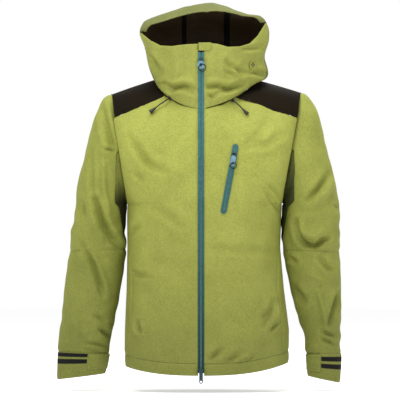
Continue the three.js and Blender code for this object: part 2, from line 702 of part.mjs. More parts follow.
const CORD_RADIUS = 1.5;
const DRAWCORDS = [
  {
    side: 'right',
    route: [
      [-75, -110.5, 649], [-79, -114.5, 646.5], [-87, -117, 641], [-96, -118.5, 635], [-106, -120.5, 627],
    ],
    end: { length: 17, radii: [2.6, 5] },
  },
  {
    side: 'left',
    route: [[75, -116, 644], [77.5, -120, 642], [82.5, -122, 638], [88.5, -123, 633], [97.5, -123.5, 624]],
    end: { length: 17, radii: [2.4, 4.4] },
  },
];

function pointedAlong(geometry, from, direction) {
  const turn = new THREE.Quaternion().setFromUnitVectors(new THREE.Vector3(0, 1, 0), direction);
  return geometry.applyQuaternion(turn).translate(from.x, from.y, from.z);
}

function latheSolid(profile) {
  return new THREE.LatheGeometry(profile.map(([r, y]) => new THREE.Vector2(r, y)), 14);
}

function cordTube(curve) {
  const section = new THREE.Shape();
  section.absarc(0, 0, CORD_RADIUS, 0, 2 * Math.PI);
  const options = { steps: 6, extrudePath: curve, bevelEnabled: false, curveSegments: 4 };
  return new THREE.ExtrudeGeometry(section, options);
}

function buildDrawcord({ side, route, end }) {
  const points = route.map((p) => new THREE.Vector3(...p));
  const curve = new THREE.CatmullRomCurve3(points);
  addPart(`${side}_drawcord`, cordTube(curve), fabric(TAPE_BLACK));
  const eyelet = latheSolid([[0, -2.3], [4.6, -2.3], [4.6, -1.1], [3.2, -0.3], [0, -0.3]]);
  addPart(`${side}_cord_eyelet`, pointedAlong(eyelet, points[0], curve.getTangent(0)), plastic(TAPE_BLACK));
  const [neck, mouth] = end.radii;
  const bell = latheSolid([
    [0, 0.3], [neck, 0.3], [neck, end.length * 0.25], [mouth, end.length * 0.85],
    [mouth * 0.8, end.length], [0, end.length],
  ]);
  addPart(`${side}_cord_end`, pointedAlong(bell, points.at(-1), curve.getTangent(1)), plastic(TAPE_BLACK));
}

// Small parts.

function buildHoodPatch() {
  const radius = 11;
  const disc = new THREE.Shape();
  disc.absarc(0, 0, radius, 0, 2 * Math.PI);
  for (let k = 0; k < 4; k += 1) {
    const hole = new THREE.Path();
    hole.absarc(4 * Math.cos((k * Math.PI) / 2), 4 * Math.sin((k * Math.PI) / 2), 1.5, 0, 2 * Math.PI);
    disc.holes.push(hole);
  }
  const patch = roundedPlate(disc, 1).rotateX(Math.PI / 2).rotateZ(radians(50));
  addPart('hood_vent_patch', patch.translate(115, -94, raised(728)), fabric(SHELL_GREEN));
}

function buildHangerLoop() {
  const outer = 26;
  const thickness = 2.4;
  const inner = outer - thickness;
  const width = 8;
  const foot = LOOP_TOP_Z - inner;
  const end = NECK_RIDGE_Z - 19;
  const arch = new THREE.Shape();
  arch.moveTo(outer, end);
  arch.lineTo(outer, foot);
  arch.absarc(0, foot, outer, 0, Math.PI);
  arch.lineTo(-outer, end);
  arch.lineTo(-inner, end);
  arch.lineTo(-inner, foot);
  arch.absarc(0, foot, inner, Math.PI, 0, true);
  arch.lineTo(inner, end);
  addPart('hanger_loop', standing(arch, width, LOOP_Y - width / 2), fabric(TAPE_BLACK));
}

function buildNeckTape() {
  const inset = 4.5;
  const height = 15;
  const surface = (u, v) => {
    const side = u < 0.5 ? RIGHT : LEFT;
    const point = neckPoint(side, u < 0.5 ? mix(42, 90, 2 * u) : mix(90, 42, 2 * u - 1));
    const reach = Math.hypot(point.x, point.y);
    point.x *= 1 - inset / reach;
    point.y *= 1 - inset / reach;
    point.z -= height * (1 - v) + 1;
    return point;
  };
  const middle = new THREE.Vector3(10, 0, 680);
  addPart('neck_tape', clothPatch(surface, 14, 1, 1, { middle }), fabric(TAPE_BLACK));
}

buildTorso();
SIDES.forEach(buildSleeve);
buildHood();
buildFrontZip();
buildChestPocket();
DRAWCORDS.forEach(buildDrawcord);
buildHoodPatch();
buildHangerLoop();
buildNeckTape();

export default jacket;
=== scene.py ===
"""A hardshell jacket in cloth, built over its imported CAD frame."""

import math

import bmesh
import bpy
import numpy as np
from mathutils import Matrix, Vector


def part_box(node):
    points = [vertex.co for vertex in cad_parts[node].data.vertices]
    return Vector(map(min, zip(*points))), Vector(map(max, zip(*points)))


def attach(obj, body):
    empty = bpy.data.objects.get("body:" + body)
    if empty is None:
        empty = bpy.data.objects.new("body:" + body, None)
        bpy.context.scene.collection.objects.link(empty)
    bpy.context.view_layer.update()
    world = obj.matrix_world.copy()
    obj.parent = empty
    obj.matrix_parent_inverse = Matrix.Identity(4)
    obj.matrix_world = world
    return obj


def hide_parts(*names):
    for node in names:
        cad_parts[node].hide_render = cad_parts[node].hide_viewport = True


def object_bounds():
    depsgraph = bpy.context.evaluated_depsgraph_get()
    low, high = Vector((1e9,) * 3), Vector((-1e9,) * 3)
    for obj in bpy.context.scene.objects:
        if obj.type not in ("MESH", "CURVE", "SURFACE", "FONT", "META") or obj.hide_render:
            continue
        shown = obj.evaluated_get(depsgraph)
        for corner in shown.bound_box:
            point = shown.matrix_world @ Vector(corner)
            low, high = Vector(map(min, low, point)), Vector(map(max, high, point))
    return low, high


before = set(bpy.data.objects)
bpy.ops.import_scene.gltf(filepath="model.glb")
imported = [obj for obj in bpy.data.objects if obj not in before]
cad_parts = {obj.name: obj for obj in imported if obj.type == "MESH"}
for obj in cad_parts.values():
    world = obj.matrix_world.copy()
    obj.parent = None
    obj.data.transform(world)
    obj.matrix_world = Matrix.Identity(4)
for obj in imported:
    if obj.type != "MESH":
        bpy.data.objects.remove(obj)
CAD_BOX = [list(corner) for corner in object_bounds()]

# Sizes in millimetres. Heights are measured from the front hem, and the front faces -Y.
LOOP_TOP_Z = 716.0
LOOP_Y = 48.0
ORIGIN = np.array([0.0, LOOP_Y, LOOP_TOP_Z])
FRONT_DEPTH = 140.0
BACK_DEPTH = 140.0
ARMPIT_Z = 402.0
SHOULDER_Z = 660.0
NECK_FRONT_Z = 624.0
NECK_RIDGE_Z = 699.0
NAPE_DEPTH = 60.0
NAPE_DROP = 9.0
CLOTH = 1.4
BAND = 2.4
SEAM = 0.1
YOKE_GAP = 0.1
NECK_TUCK = 4.0
YOKE_NAPE_ANGLE = 50.0
LINING_GAP = 3.2
SECTION_POWER = 2.6
ARMHOLE_DEPTH = 80.0
HEM_HEIGHT = 28.0
SIDE_PANEL_ANGLE = 25.0
SEAM_ANGLE = 0.12
CHEST_FALL = 84.6
BACK_FALL = 80.0
FALL_START_Z = 540.0
ZIP_OPENING = 14.0
COLLAR_SIDE_ANGLE = -22.0
HOOD_FRONT_Y = -60.0
HOOD_MIDDLE_X = 10.0
HOOD_REACH = 178.0
HOOD_SEAMS = (0.31, 0.69)
BRIM_CORNERS = (0.24, 0.76)

RIGHT = dict(
    name="right", sign=-1.0, hem_rise=19.0, neck=107.0, neck_power=0.82,
    collar_top=[(7, 776), (33, 775), (70, 771), (96, 774), (120, 789), (141, 811), (146, 816)],
    half_widths=[(0, 178), (60, 180), (106, 179), (200, 175), (300, 173), (ARMPIT_Z, 174), (SHOULDER_Z, 212)],
    strips=((0.06, 0.22), (0.31, 0.48)),
    yoke_edge=[(0, 624), (12, 625), (47, 634), (82, 656), (129, 636), (167, 619), (212, 602)],
    sleeve=[
        ((215, 660), (178, 402)), ((231, 649), (178.4, 400.5)), ((246, 616), (178.3, 399.5)),
        ((261, 566), (178.2, 398.7)), ((276, 510), (178.1, 398)), ((289, 451), (178, 397.3)),
        ((296, 396), (177.8, 396.5)), ((303, 341), (177.5, 345)), ((309, 292), (179, 296)),
        ((320, 216), (187, 224)), ((329, 129), (203, 139)), ((335, 73), (215, 80)),
        ((337, 54), (217, 50)), ((340, -13), (226, 1)),
    ],
)
LEFT = dict(
    name="left", sign=1.0, hem_rise=28.0, neck=127.0, neck_power=0.66,
    collar_top=[(7, 779), (38, 776), (63, 769), (92, 770), (115, 777), (134, 795), (153, 825)],
    half_widths=[(0, 206), (106, 207), (200, 195), (300, 186), (ARMPIT_Z, 190), (SHOULDER_Z, 237)],
    strips=((0.14, 0.31), (0.41, 0.57)),
    yoke_edge=[(0, 624), (12, 625), (47, 634), (86, 658), (136, 639), (169, 622), (237, 602)],
    sleeve=[
        ((240, 664), (196, 404)), ((254, 652), (195.8, 402.5)), ((269, 631), (195.5, 401.5)),
        ((280, 592), (195.2, 400.8)), ((290, 552), (194.9, 400.1)), ((303, 505), (194.6, 399.5)),
        ((317, 446), (194.3, 398.9)), ((327, 394), (194, 398)), ((328, 341), (192.5, 345)),
        ((326, 292), (193.5, 292)), ((329, 230), (204, 237)), ((331, 148), (226, 148)),
        ((328, 90), (244, 96)), ((331, 50), (249, 50)), ((328, -21), (252, -5)),
    ],
)
SIDES = (RIGHT, LEFT)

HOOD_ARCH = [
    (-107, 700), (-120, 722), (-128, 745), (-135, 775), (-145, 806), (-133, 831), (-97, 846),
    (-49, 862), (0, 873), (30, 873), (58, 865), (104, 850), (140, 844), (155, 828),
    (160, 790), (151, 752), (158, 711), (127, 700),
]
BRIM_DROP = [(0, 2), (0.15, 12), (0.3, 16), (0.5, 21), (0.62, 14), (0.75, 5), (1, 2)]
# Half the gusset's span round the sleeve in degrees, along the sleeve; widest at the armpit so it reaches
# where the underarm shade falls, which the gusset's darker greens paint.
GUSSET_HALF = [(0, 88), (0.08, 76), (0.2, 62), (0.42, 52), (0.56, 22), (0.62, 2)]


def to_frame(points):
    """Millimetres from the hem, as metres in the row frame."""
    return (np.asarray(points, float) - ORIGIN) / 1000.0


# ---------------------------------------------------------------- curves and small helpers

def mix(a, b, t):
    return a + (b - a) * t


def smooth(low, high, value):
    t = np.clip((value - low) / (high - low), 0, 1)
    return t * t * (3 - 2 * t)


def table_at(table, at):
    return np.interp(at, [row[0] for row in table], [row[1] for row in table])


def spline(points, share):
    """Centripetal Catmull-Rom through the points, share 0 to 1 by point number."""
    p = np.asarray(points, float)
    share = np.asarray(share, float)
    at = np.clip(share, 0, 1) * (len(p) - 1)
    k = np.minimum(np.floor(at).astype(int), len(p) - 2)
    t = (at - k)[..., None]
    p = np.vstack([2 * p[0] - p[1], p, 2 * p[-1] - p[-2]])
    a, b, c, d = p[k], p[k + 1], p[k + 2], p[k + 3]

    def knot(u, v):
        return np.maximum(np.linalg.norm(v - u, axis=-1, keepdims=True) ** 0.5, 1e-4)

    d0, d1, d2 = knot(a, b), knot(b, c), knot(c, d)
    t1 = ((b - a) / d0 - (c - a) / (d0 + d1) + (c - b) / d1) * d1
    t2 = ((c - b) / d1 - (d - b) / (d1 + d2) + (d - c) / d2) * d1
    return b + t1 * t + (-3 * b + 3 * c - 2 * t1 - t2) * t**2 + (2 * b - 2 * c + t1 + t2) * t**3


def stack(x, y, z):
    return np.stack(np.broadcast_arrays(x, y, z), -1).astype(float)


# ---------------------------------------------------------------- the jacket's surfaces

def armhole_half(side, z):
    (_, top), (_, foot) = side["sleeve"][0]
    share = (2 * z - top - foot) / (top - foot)
    return ARMHOLE_DEPTH * np.sqrt(np.clip(1 - share * share, 0, None))


def torso(side, angle, z):
    """-90 is the front centre, 0 the side and 90 the back centre."""
    turn = np.radians(angle)
    width = table_at(side["half_widths"], z)
    edge = np.where(z > ARMPIT_Z, armhole_half(side, z), 0)
    out = width * np.clip(np.cos(turn), 0, 1) ** (2 / SECTION_POWER)
    bulge = np.abs(np.sin(turn)) ** (2 / SECTION_POWER)
    front = np.asarray(angle) < 0
    rise = np.clip(z - FALL_START_Z, 0, None) / (NECK_RIDGE_Z - FALL_START_Z)
    fall = np.where(front, CHEST_FALL * rise**2 * smooth(7, side["neck"] * 0.8, out), BACK_FALL * rise**2)
    depth = edge + (np.where(front, FRONT_DEPTH, BACK_DEPTH) - edge - fall) * bulge
    return stack(side["sign"] * out, np.where(front, -depth, depth), z)


def angle_at(side, out, z):
    share = np.clip(out / table_at(side["half_widths"], z), 0, 1)
    return -np.degrees(np.arccos(share ** (SECTION_POWER / 2)))


def side_angle(z):
    return SIDE_PANEL_ANGLE * (1 - smooth(200, ARMPIT_Z - 6, z)) + 0.6


def hem_line(side, angle):
    return side["hem_rise"] * np.cos(np.radians(angle)) ** 2


def shoulder_width(side, guess):
    return table_at(side["half_widths"], NECK_FRONT_Z) * np.cos(np.radians(guess)) ** (2 / SECTION_POWER)


def front_panel(side):
    def surface(u, v):
        out = shoulder_width(side, mix(-90, 0, u))
        top = table_at(side["yoke_edge"], np.maximum(out, ZIP_OPENING / 2)) - SEAM
        foot = hem_line(side, mix(-89, -SIDE_PANEL_ANGLE, u)) + HEM_HEIGHT + SEAM
        z = mix(foot, top, v)
        zip_edge = angle_at(side, ZIP_OPENING / 2 + SEAM, z)
        side_edge = np.where(z < ARMPIT_Z, -side_angle(z) - SEAM_ANGLE, -0.3)
        return torso(side, mix(zip_edge, side_edge, u), z)
    return surface


def back_edge(side, out):
    corner = side["yoke_edge"][-1][1] - 4
    rows = [(0, 688), (60, 686), (side["neck"] - 5, 670), (side["neck"] + 110, corner)]
    return table_at(rows, out)


def back_panel(u, v):
    parts = []
    for side, share in ((RIGHT, 1 - 2 * u), (LEFT, 2 * u - 1)):
        share = np.clip(share, 0, 1)
        out = shoulder_width(side, mix(90, 0, share))
        foot = hem_line(side, mix(90, SIDE_PANEL_ANGLE, share)) + HEM_HEIGHT + SEAM
        z = mix(foot, back_edge(side, out) - SEAM, v)
        side_edge = np.where(z < ARMPIT_Z, side_angle(z) + SEAM_ANGLE, 0.3)
        parts.append(torso(side, mix(90, side_edge, share), z))
    return np.where((np.asarray(u) < 0.5)[..., None], *parts)


def hem_band(side, start, end):
    def surface(u, v):
        angle = mix(start, end, u)
        foot = hem_line(side, angle)
        return torso(side, angle, mix(foot, foot + HEM_HEIGHT, v))
    return surface


def back_hem(u, v):
    right = hem_band(RIGHT, 0.6, 90)(np.clip(2 * u, 0, 1), v)
    left = hem_band(LEFT, 90, 0.6)(np.clip(2 * u - 1, 0, 1), v)
    return np.where((np.asarray(u) < 0.5)[..., None], right, left)


def side_panel(side):
    def surface(u, v):
        foot = hem_line(side, mix(-SIDE_PANEL_ANGLE, SIDE_PANEL_ANGLE, u)) + HEM_HEIGHT + SEAM
        z = mix(foot, ARMPIT_Z - 4, v)
        return torso(side, mix(-side_angle(z), side_angle(z), u), z)
    return surface


def neck(side, angle):
    turn = np.radians(angle)
    reach = np.abs(np.sin(turn))
    front = np.asarray(angle) < 0
    rise = (NECK_RIDGE_Z - NECK_FRONT_Z) * (1 - reach) ** side["neck_power"]
    return stack(
        side["sign"] * side["neck"] * np.cos(turn),
        np.where(front, -FRONT_DEPTH * reach**0.85, NAPE_DEPTH * reach),
        np.where(front, NECK_FRONT_Z + rise, NECK_RIDGE_Z - NAPE_DROP * reach),
    )


def yoke(side):
    (_, arm_top), _ = side["sleeve"][0]
    inner = side["yoke_edge"][3][0]
    outer = table_at(side["half_widths"], SHOULDER_Z) - SEAM

    def rolled(u, v):
        low = mix(inner, outer - 4, u)
        front = v < 0.5
        start = np.where(front, table_at(side["yoke_edge"], low), back_edge(side, low)) + YOKE_GAP
        edge = torso(side, angle_at(side, low, start) * np.where(front, 1, -1), start)
        turn = np.radians(90 * np.where(front, 2 * v, 2 - 2 * v))
        ridge_x = side["sign"] * mix(side["neck"] + SEAM, outer, u)
        return stack(
            mix(edge[..., 0], ridge_x, np.sin(turn)),
            edge[..., 1] * np.cos(turn),
            mix(edge[..., 2], mix(NECK_RIDGE_Z, arm_top - 1, u), np.sin(turn)),
        )

    def surface(u, v):
        front_angle = -math.degrees(math.acos(inner / side["neck"]))
        angle = np.where(v < 0.5, mix(front_angle, -1e-6, 2 * v), mix(0, YOKE_NAPE_ANGLE, 2 * v - 1))
        seam = neck(side, angle) - np.array([side["sign"] * NECK_TUCK, 0, 3.0])
        pull = seam - rolled(np.zeros_like(u), v)
        return rolled(u, v) + pull * ((1 - u) ** 2)[..., None]
    return surface


def sleeve(side):
    outer = [edge for edge, _ in side["sleeve"]]
    inner = [edge for _, edge in side["sleeve"]]
    depths = [(0, ARMHOLE_DEPTH), (0.45, 74), (0.7, 62), (0.85, 48), (1, 40)]

    def ring(angle, share, lift=0.0):
        """angle in degrees: 0 is the outer edge, 90 the front and 180 the edge by the body."""
        turn = np.radians(angle)
        o, i = spline(outer, share), spline(inner, share)
        half = (o - i) / 2
        length = np.linalg.norm(half, axis=-1)
        middle = (o + i) / 2
        reach = (length + lift) * np.cos(turn)
        across = middle + half / length[..., None] * reach[..., None]
        y = -(table_at(depths, share) + lift) * np.sin(turn)
        return stack(side["sign"] * across[..., 0], y, across[..., 1])
    return ring


def collar(side):
    """From the zip round to the hood's front edge, which the collar's side edge follows up."""
    corner = BRIM_CORNERS[0] - 0.005 if side["sign"] < 0 else BRIM_CORNERS[1] + 0.005
    end = hood(np.array(corner), np.array(0.0))
    zip_angle = -math.degrees(math.acos((ZIP_OPENING / 2 + SEAM) / side["neck"]))

    def edge_at(v):
        across = corner * v if side["sign"] < 0 else 1 - (1 - corner) * v
        return hood(across, np.zeros_like(across))

    def top_at(u):
        out = mix(ZIP_OPENING / 2 + SEAM, abs(end[0]), u)
        around = np.clip(1 - u**2.4, 0, None) ** 0.6
        height = table_at(side["collar_top"], out)
        return stack(side["sign"] * out, mix(end[1], -FRONT_DEPTH, around), height)

    def foot_at(u):
        return neck(side, mix(zip_angle, COLLAR_SIDE_ANGLE + 1, u))

    def surface(u, v):
        rise = np.asarray(v)[..., None]
        ones = np.ones_like(u)
        side_edge = mix(foot_at(ones), top_at(ones), rise)
        point = mix(foot_at(u), top_at(u), rise)
        point = point + (edge_at(v) - side_edge) * (np.asarray(u) ** 4)[..., None]
        point[..., 2] += SEAM * (1 - v)
        return point
    return surface


def hood(across, back):
    """across runs from the right neck over the crown to the left; back from the opening to the nape."""
    arch = spline(HOOD_ARCH, across)
    right = (np.asarray(across) < 0.5)[..., None]
    angle = mix(COLLAR_SIDE_ANGLE + 1, 88, back)
    seam = np.where(right, neck(RIGHT, angle), neck(LEFT, angle))
    rim = np.where(right, np.array(HOOD_ARCH[0], float), np.array(HOOD_ARCH[-1], float))
    shrink = np.cos(np.radians(87 * back)) ** 0.7
    free = 1 - (1 - np.sin(np.pi * np.clip(across, 0, 1))) ** 3
    reach = HOOD_FRONT_Y + HOOD_REACH * np.sin(np.radians(125 * back))
    rim_x = mix(HOOD_MIDDLE_X, rim[..., 0], shrink)
    return stack(
        mix(HOOD_MIDDLE_X, arch[..., 0], shrink) + (seam[..., 0] - rim_x) * (1 - free),
        mix(seam[..., 1], reach, free),
        mix(rim[..., 1], arch[..., 1], shrink) + (seam[..., 2] + SEAM - rim[..., 1]) * (1 - free),
    )


def hood_part(start, end, gap=0.001):
    return lambda u, v: hood(mix(start + gap, end - gap, u), mix(0.012, 0.97, v))


def brim(u, v):
    across = mix(BRIM_CORNERS[0], BRIM_CORNERS[1], u)
    edge = hood(across, np.zeros_like(u))
    crown = np.sin(np.pi * u)
    return stack(
        mix(edge[..., 0], 10, v * 0.1),
        edge[..., 1] - v * mix(8, 34, crown),
        edge[..., 2] - v * table_at(BRIM_DROP, u),
    )


ARMHOLE_TUCK = 5.0


def sleeve_part(side, start, end, angles=None):
    """The whole tube, or with angles(share) the strip between two angles. u goes round, v goes down."""
    ring = sleeve(side)

    def surface(u, v):
        share = mix(start, end, v)
        first, last = (0.0, 360.0) if angles is None else angles(share)
        point = ring(mix(first, last, u), share)
        tucked = 1 - smooth(0, 0.02, share)
        point[..., 0] -= side["sign"] * ARMHOLE_TUCK * tucked
        point[..., 1] *= 1 - 0.03 * tucked
        return point
    return surface


def green_angles(share):
    half = table_at(GUSSET_HALF, share)
    return half - 179, 179 - half


def gusset_angles(share):
    half = table_at(GUSSET_HALF, share)
    return 180 - half, 180 + half


def sleeve_shares(side):
    """Where the elbow seam and the cuff seam lie along the sleeve."""
    last = len(side["sleeve"]) - 1
    return round((last + 1) * 0.6) / last, (last - 1) / last


# ---------------------------------------------------------------- folds and wrinkles

FOLD_DEPTH = 2.3
PATCH_X = 114
PATCH_Z = 728


def fold_field(x, z, folds):
    """How far cloth stands out at x, z: each fold is (height, width, point, point, ...) in mm."""
    total = np.zeros_like(x)
    for height, width, *points in folds:
        best = np.full(x.shape, 1e9)
        share = np.zeros(x.shape)
        count = len(points) - 1
        for k in range(count):
            start = np.array(points[k], float)
            run = np.array(points[k + 1], float) - start
            t = np.clip(((x - start[0]) * run[0] + (z - start[1]) * run[1]) / (run @ run), 0, 1)
            distance = np.hypot(x - start[0] - t * run[0], z - start[1] - t * run[1])
            share = np.where(distance < best, (k + t) / count, share)
            best = np.minimum(best, distance)
        reach = best / width
        profile = np.exp(-reach**2)
        if height < 0:
            profile = profile - 0.45 * np.exp(-((reach - 2.1) / 1.1) ** 2)
        total += FOLD_DEPTH * height * profile * np.sin(math.pi * (0.12 + 0.76 * share))
    return total


def undulation(points, seed, size, stretch=(1, 1, 1)):
    """Smooth unevenness from -1 to 1 with hollows about `size` mm across."""
    rng = np.random.default_rng(seed)
    total = np.zeros(points.shape[:-1])
    for _ in range(9):
        direction = rng.normal(size=3) * np.array(stretch)
        direction /= np.linalg.norm(direction)
        turns = 2 * math.pi / (size * rng.uniform(0.9, 2.4))
        total += np.sin(points @ direction * turns + rng.uniform(0, 2 * math.pi))
    return total / 5


FOLDS = {
    "right_sleeve": [
        (-6, 8, (-237, 634), (-214, 552), (-207, 529)),
        (-3, 4, (-229, 531), (-206, 526)),
        (-2.5, 5, (-258, 529), (-256, 435), (-251, 400)),
        (-8, 7, (-249, 411), (-237, 369), (-221, 336), (-195, 301)),
        (5, 6, (-256, 400), (-246, 352), (-230, 300)),
        (4, 7, (-230, 529), (-228, 435), (-216, 383)),
        (-5, 6, (-280, 305), (-254, 258), (-237, 211), (-230, 188)),
        (3, 6, (-290, 300), (-266, 255), (-248, 205)),
        (-4, 5, (-237, 106), (-218, 92)),
        (-3, 5, (-249, 139), (-230, 129)),
        (4, 7, (-303, 130), (-287, 92)),
        (-4, 6, (-284, 411), (-270, 359)),
        (-2, 4, (-275, 76), (-246, 72), (-222, 66)),
        (-2, 4, (-270, 60), (-240, 52)),
    ],
    "left_sleeve": [
        (7, 8, (233, 352), (240, 337), (252, 327), (268, 327), (286, 338)),
        (-7, 6, (223, 361), (233, 321), (249, 307), (270, 303), (287, 318), (300, 321)),
        (-5, 6, (318, 401), (331, 391)),
        (-5, 7, (250, 409), (284, 446), (303, 478)),
        (3, 8, (262, 398), (296, 434), (314, 462)),
        (-4, 6, (280, 275), (298, 251), (309, 247)),
        (-3, 5, (207, 276), (224, 265)),
        (5, 6, (275, 197), (284, 164), (294, 110)),
        (-6, 6, (303, 122), (320, 176), (330, 202)),
        (-5, 8, (218, 201), (241, 175)),
        (-3, 4, (280, 104), (314, 92)),
        (-3, 4, (284, 84), (315, 72)),
        (3, 5, (262, 230), (300, 214)),
    ],
    "body": [
        (-4, 8, (-168, 558), (-139, 517), (-120, 493), (-84, 477)),
        (-3, 6, (-156, 478), (-138, 457)),
        (-3, 9, (-108, 393), (-61, 364), (-44, 345)),
        (3, 5, (-161, 119), (-150, 99), (-135, 93)),
        (-3.5, 4, (-148, 126), (-141, 100)),
        (-3, 5, (150, 435), (166, 410), (181, 388)),
        (-2.5, 5, (155, 448), (178, 430)),
        (-4, 7, (149, 116), (167, 148), (172, 173)),
        (-3, 6, (142, 133), (162, 158)),
        (-3, 5, (162, 105), (181, 125)),
        (-3.5, 6, (24, 40), (46, 60)),
        (-3.5, 7, (59, 31), (92, 54)),
        (-2.5, 5, (103, 31), (128, 46)),
        (-2.5, 9, (103, 532), (139, 564), (151, 589)),
        (-1.6, 9, (10, 298), (100, 294), (192, 289)),
        (-3, 8, (186, 560), (150, 540), (112, 536)),
        (3, 22, (-70, 600), (-60, 420), (-50, 250)),
        (3, 24, (90, 470), (96, 330), (110, 200)),
        (-2.5, 6, (-172, 250), (-150, 236), (-120, 232)),
        (-2.5, 6, (-170, 330), (-146, 352)),
    ],
    "collar": [
        (-6, 6, (-86, 682), (-68, 672), (-42, 677), (-26, 674), (-9, 667)),
        (-6, 6, (12, 674), (38, 677), (63, 671), (97, 682)),
        (-3, 5, (-42, 667), (-12, 658)),
        (-3, 5, (26, 658), (69, 670)),
        (-2.5, 4, (14, 658), (31, 651)),
        (-5, 6, (92, 719), (106, 713), (124, 712), (158, 703)),
        (-3, 5, (75, 725), (97, 706)),
        (-2.5, 5, (59, 736), (73, 717)),
        (-2.5, 4, (63, 711), (78, 703)),
        (-2.5, 5, (99, 764), (139, 769)),
        (-5, 7, (-128, 752), (-112, 735), (-97, 709)),
        (3, 9, (-60, 752), (-56, 710), (-62, 690)),
        (3, 9, (52, 748), (46, 712), (50, 690)),
    ],
    "hood": [
        (-3, 7, (-130, 752), (-124, 735), (-118, 712)),
        (-4, 6, (110, 713), (128, 712), (158, 703)),
        (3, 14, (-60, 853), (-20, 858), (30, 860)),
    ],
}


def relief(region, points, normal):
    """Folds on the side that faces forward, soft unevenness everywhere."""
    x, z = points[..., 0], points[..., 2]
    kind = region.split("_")[-1]
    front = smooth(0.05, 0.55, -normal[..., 1])
    height = fold_field(x, z, FOLDS.get(region, ())) * front
    if kind == "sleeve":
        # Short creases across the sleeve, deepest at the elbow and above the cuff.
        place = np.exp(-((z - 330) / 60) ** 2) + 0.7 * np.exp(-((z - 90) / 50) ** 2) + 0.25
        height += 2.4 * undulation(points, 21, 36, (0.5, 0.5, 1)) * place
        height += 2.4 * undulation(points, 22, 80)
        height += 0.5 * undulation(points, 23, 17) * place
        height -= 3.5 * np.exp(-((z - 345) / 9) ** 2) * smooth(0.2, 0.8, normal[..., 1])
        height -= 3.0 * np.exp(-((z - 300) / 8) ** 2) * smooth(0.2, 0.8, normal[..., 1])
    elif kind == "body":
        height += 2.2 * undulation(points, 31, 110, (1, 1, 0.6))
        height += 1.0 * undulation(points, 32, 42, (1, 1, 0.7))
        height += 0.22 * undulation(points, 33, 14, (1, 1, 0.5))
        # The pocket bag lies close behind, so the folds over it are shallow.
        over_bag = smooth(10, 30, x) * smooth(360, 380, z) * (1 - smooth(585, 605, z))
        height = np.where(over_bag > 0, np.maximum(height, mix(-20.0, -2.0, over_bag)), height)
        behind = smooth(0.1, 0.6, normal[..., 1])
        for k, level in enumerate((330, 250, 170)):
            slope = 0.12 * (x + 20 * k) + 6 * np.sin(x / 45.0 + k)
            height -= behind * 2.2 * np.exp(-((z - level - slope) / 13) ** 2)
    elif kind == "hood":
        height += 2.0 * undulation(points, 41, 80) + 1.2 * undulation(points, 42, 30)
    elif kind == "collar":
        height += 1.6 * undulation(points, 51, 52, (1, 1, 0.7)) + 0.5 * undulation(points, 52, 20)
        # The cloth is flat where the perforated patch is sewn on.
        on_patch = 1 - smooth(13, 26, np.hypot(x - PATCH_X, z - PATCH_Z))
        height = mix(height, -1.2, on_patch)
    elif kind == "lining":
        height += 1.2 * undulation(points, 61, 46) + 0.5 * undulation(points, 62, 18)
    elif kind == "band":
        height += 0.7 * undulation(points, 71, 38, (1, 1, 0.3))
    elif kind == "strip":
        height += 0.1 * undulation(points, 81, 14)
    return height


# ---------------------------------------------------------------- mesh making

def new_object(name, points, faces, uvs=None, body="shell"):
    """A mesh from points in mm, riding on a body. uvs is one pair for each point."""
    mesh = bpy.data.meshes.new(name)
    mesh.from_pydata([tuple(p) for p in to_frame(points)], [], [tuple(f) for f in faces])
    if uvs is not None:
        layer = mesh.uv_layers.new(name="UVMap")
        corners = np.empty(len(mesh.loops), np.int32)
        mesh.loops.foreach_get("vertex_index", corners)
        layer.data.foreach_set("uv", np.asarray(uvs, np.float32)[corners].ravel())
    mesh.polygons.foreach_set("use_smooth", np.ones(len(mesh.polygons), bool))
    mesh.validate()
    mesh.update()
    obj = bpy.data.objects.new(name, mesh)
    bpy.context.scene.collection.objects.link(obj)
    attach(obj, body)
    return obj


def dress(obj, material, slot, *nodes):
    obj.data.materials.clear()
    obj.data.materials.append(material)
    if nodes:
        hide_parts(*nodes)
    return obj


def grid_faces(rows, columns, start, closed, flip):
    faces = []
    for r in range(rows - 1):
        for c in range(columns if closed else columns - 1):
            d = (c + 1) % columns
            quad = (start + r * columns + c, start + r * columns + d,
                    start + (r + 1) * columns + d, start + (r + 1) * columns + c)
            faces.append(quad[::-1] if flip else quad)
    return faces


def rim_faces(rows, columns, offset, closed, flip):
    """Faces joining the outer grid's edge to the inner grid, which starts `offset` later."""
    def wall(a, b):
        quad = (b, a, a + offset, b + offset)
        return quad[::-1] if flip else quad

    last = (rows - 1) * columns
    faces = []
    for c in range(columns if closed else columns - 1):
        d = (c + 1) % columns
        faces.append(wall(c, d))
        faces.append(wall(last + d, last + c))
    if not closed:
        for r in range(rows - 1):
            faces.append(wall((r + 1) * columns, r * columns))
            faces.append(wall(r * columns + columns - 1, (r + 1) * columns + columns - 1))
    return faces


LEAST_AREA_SHARE = 0.35


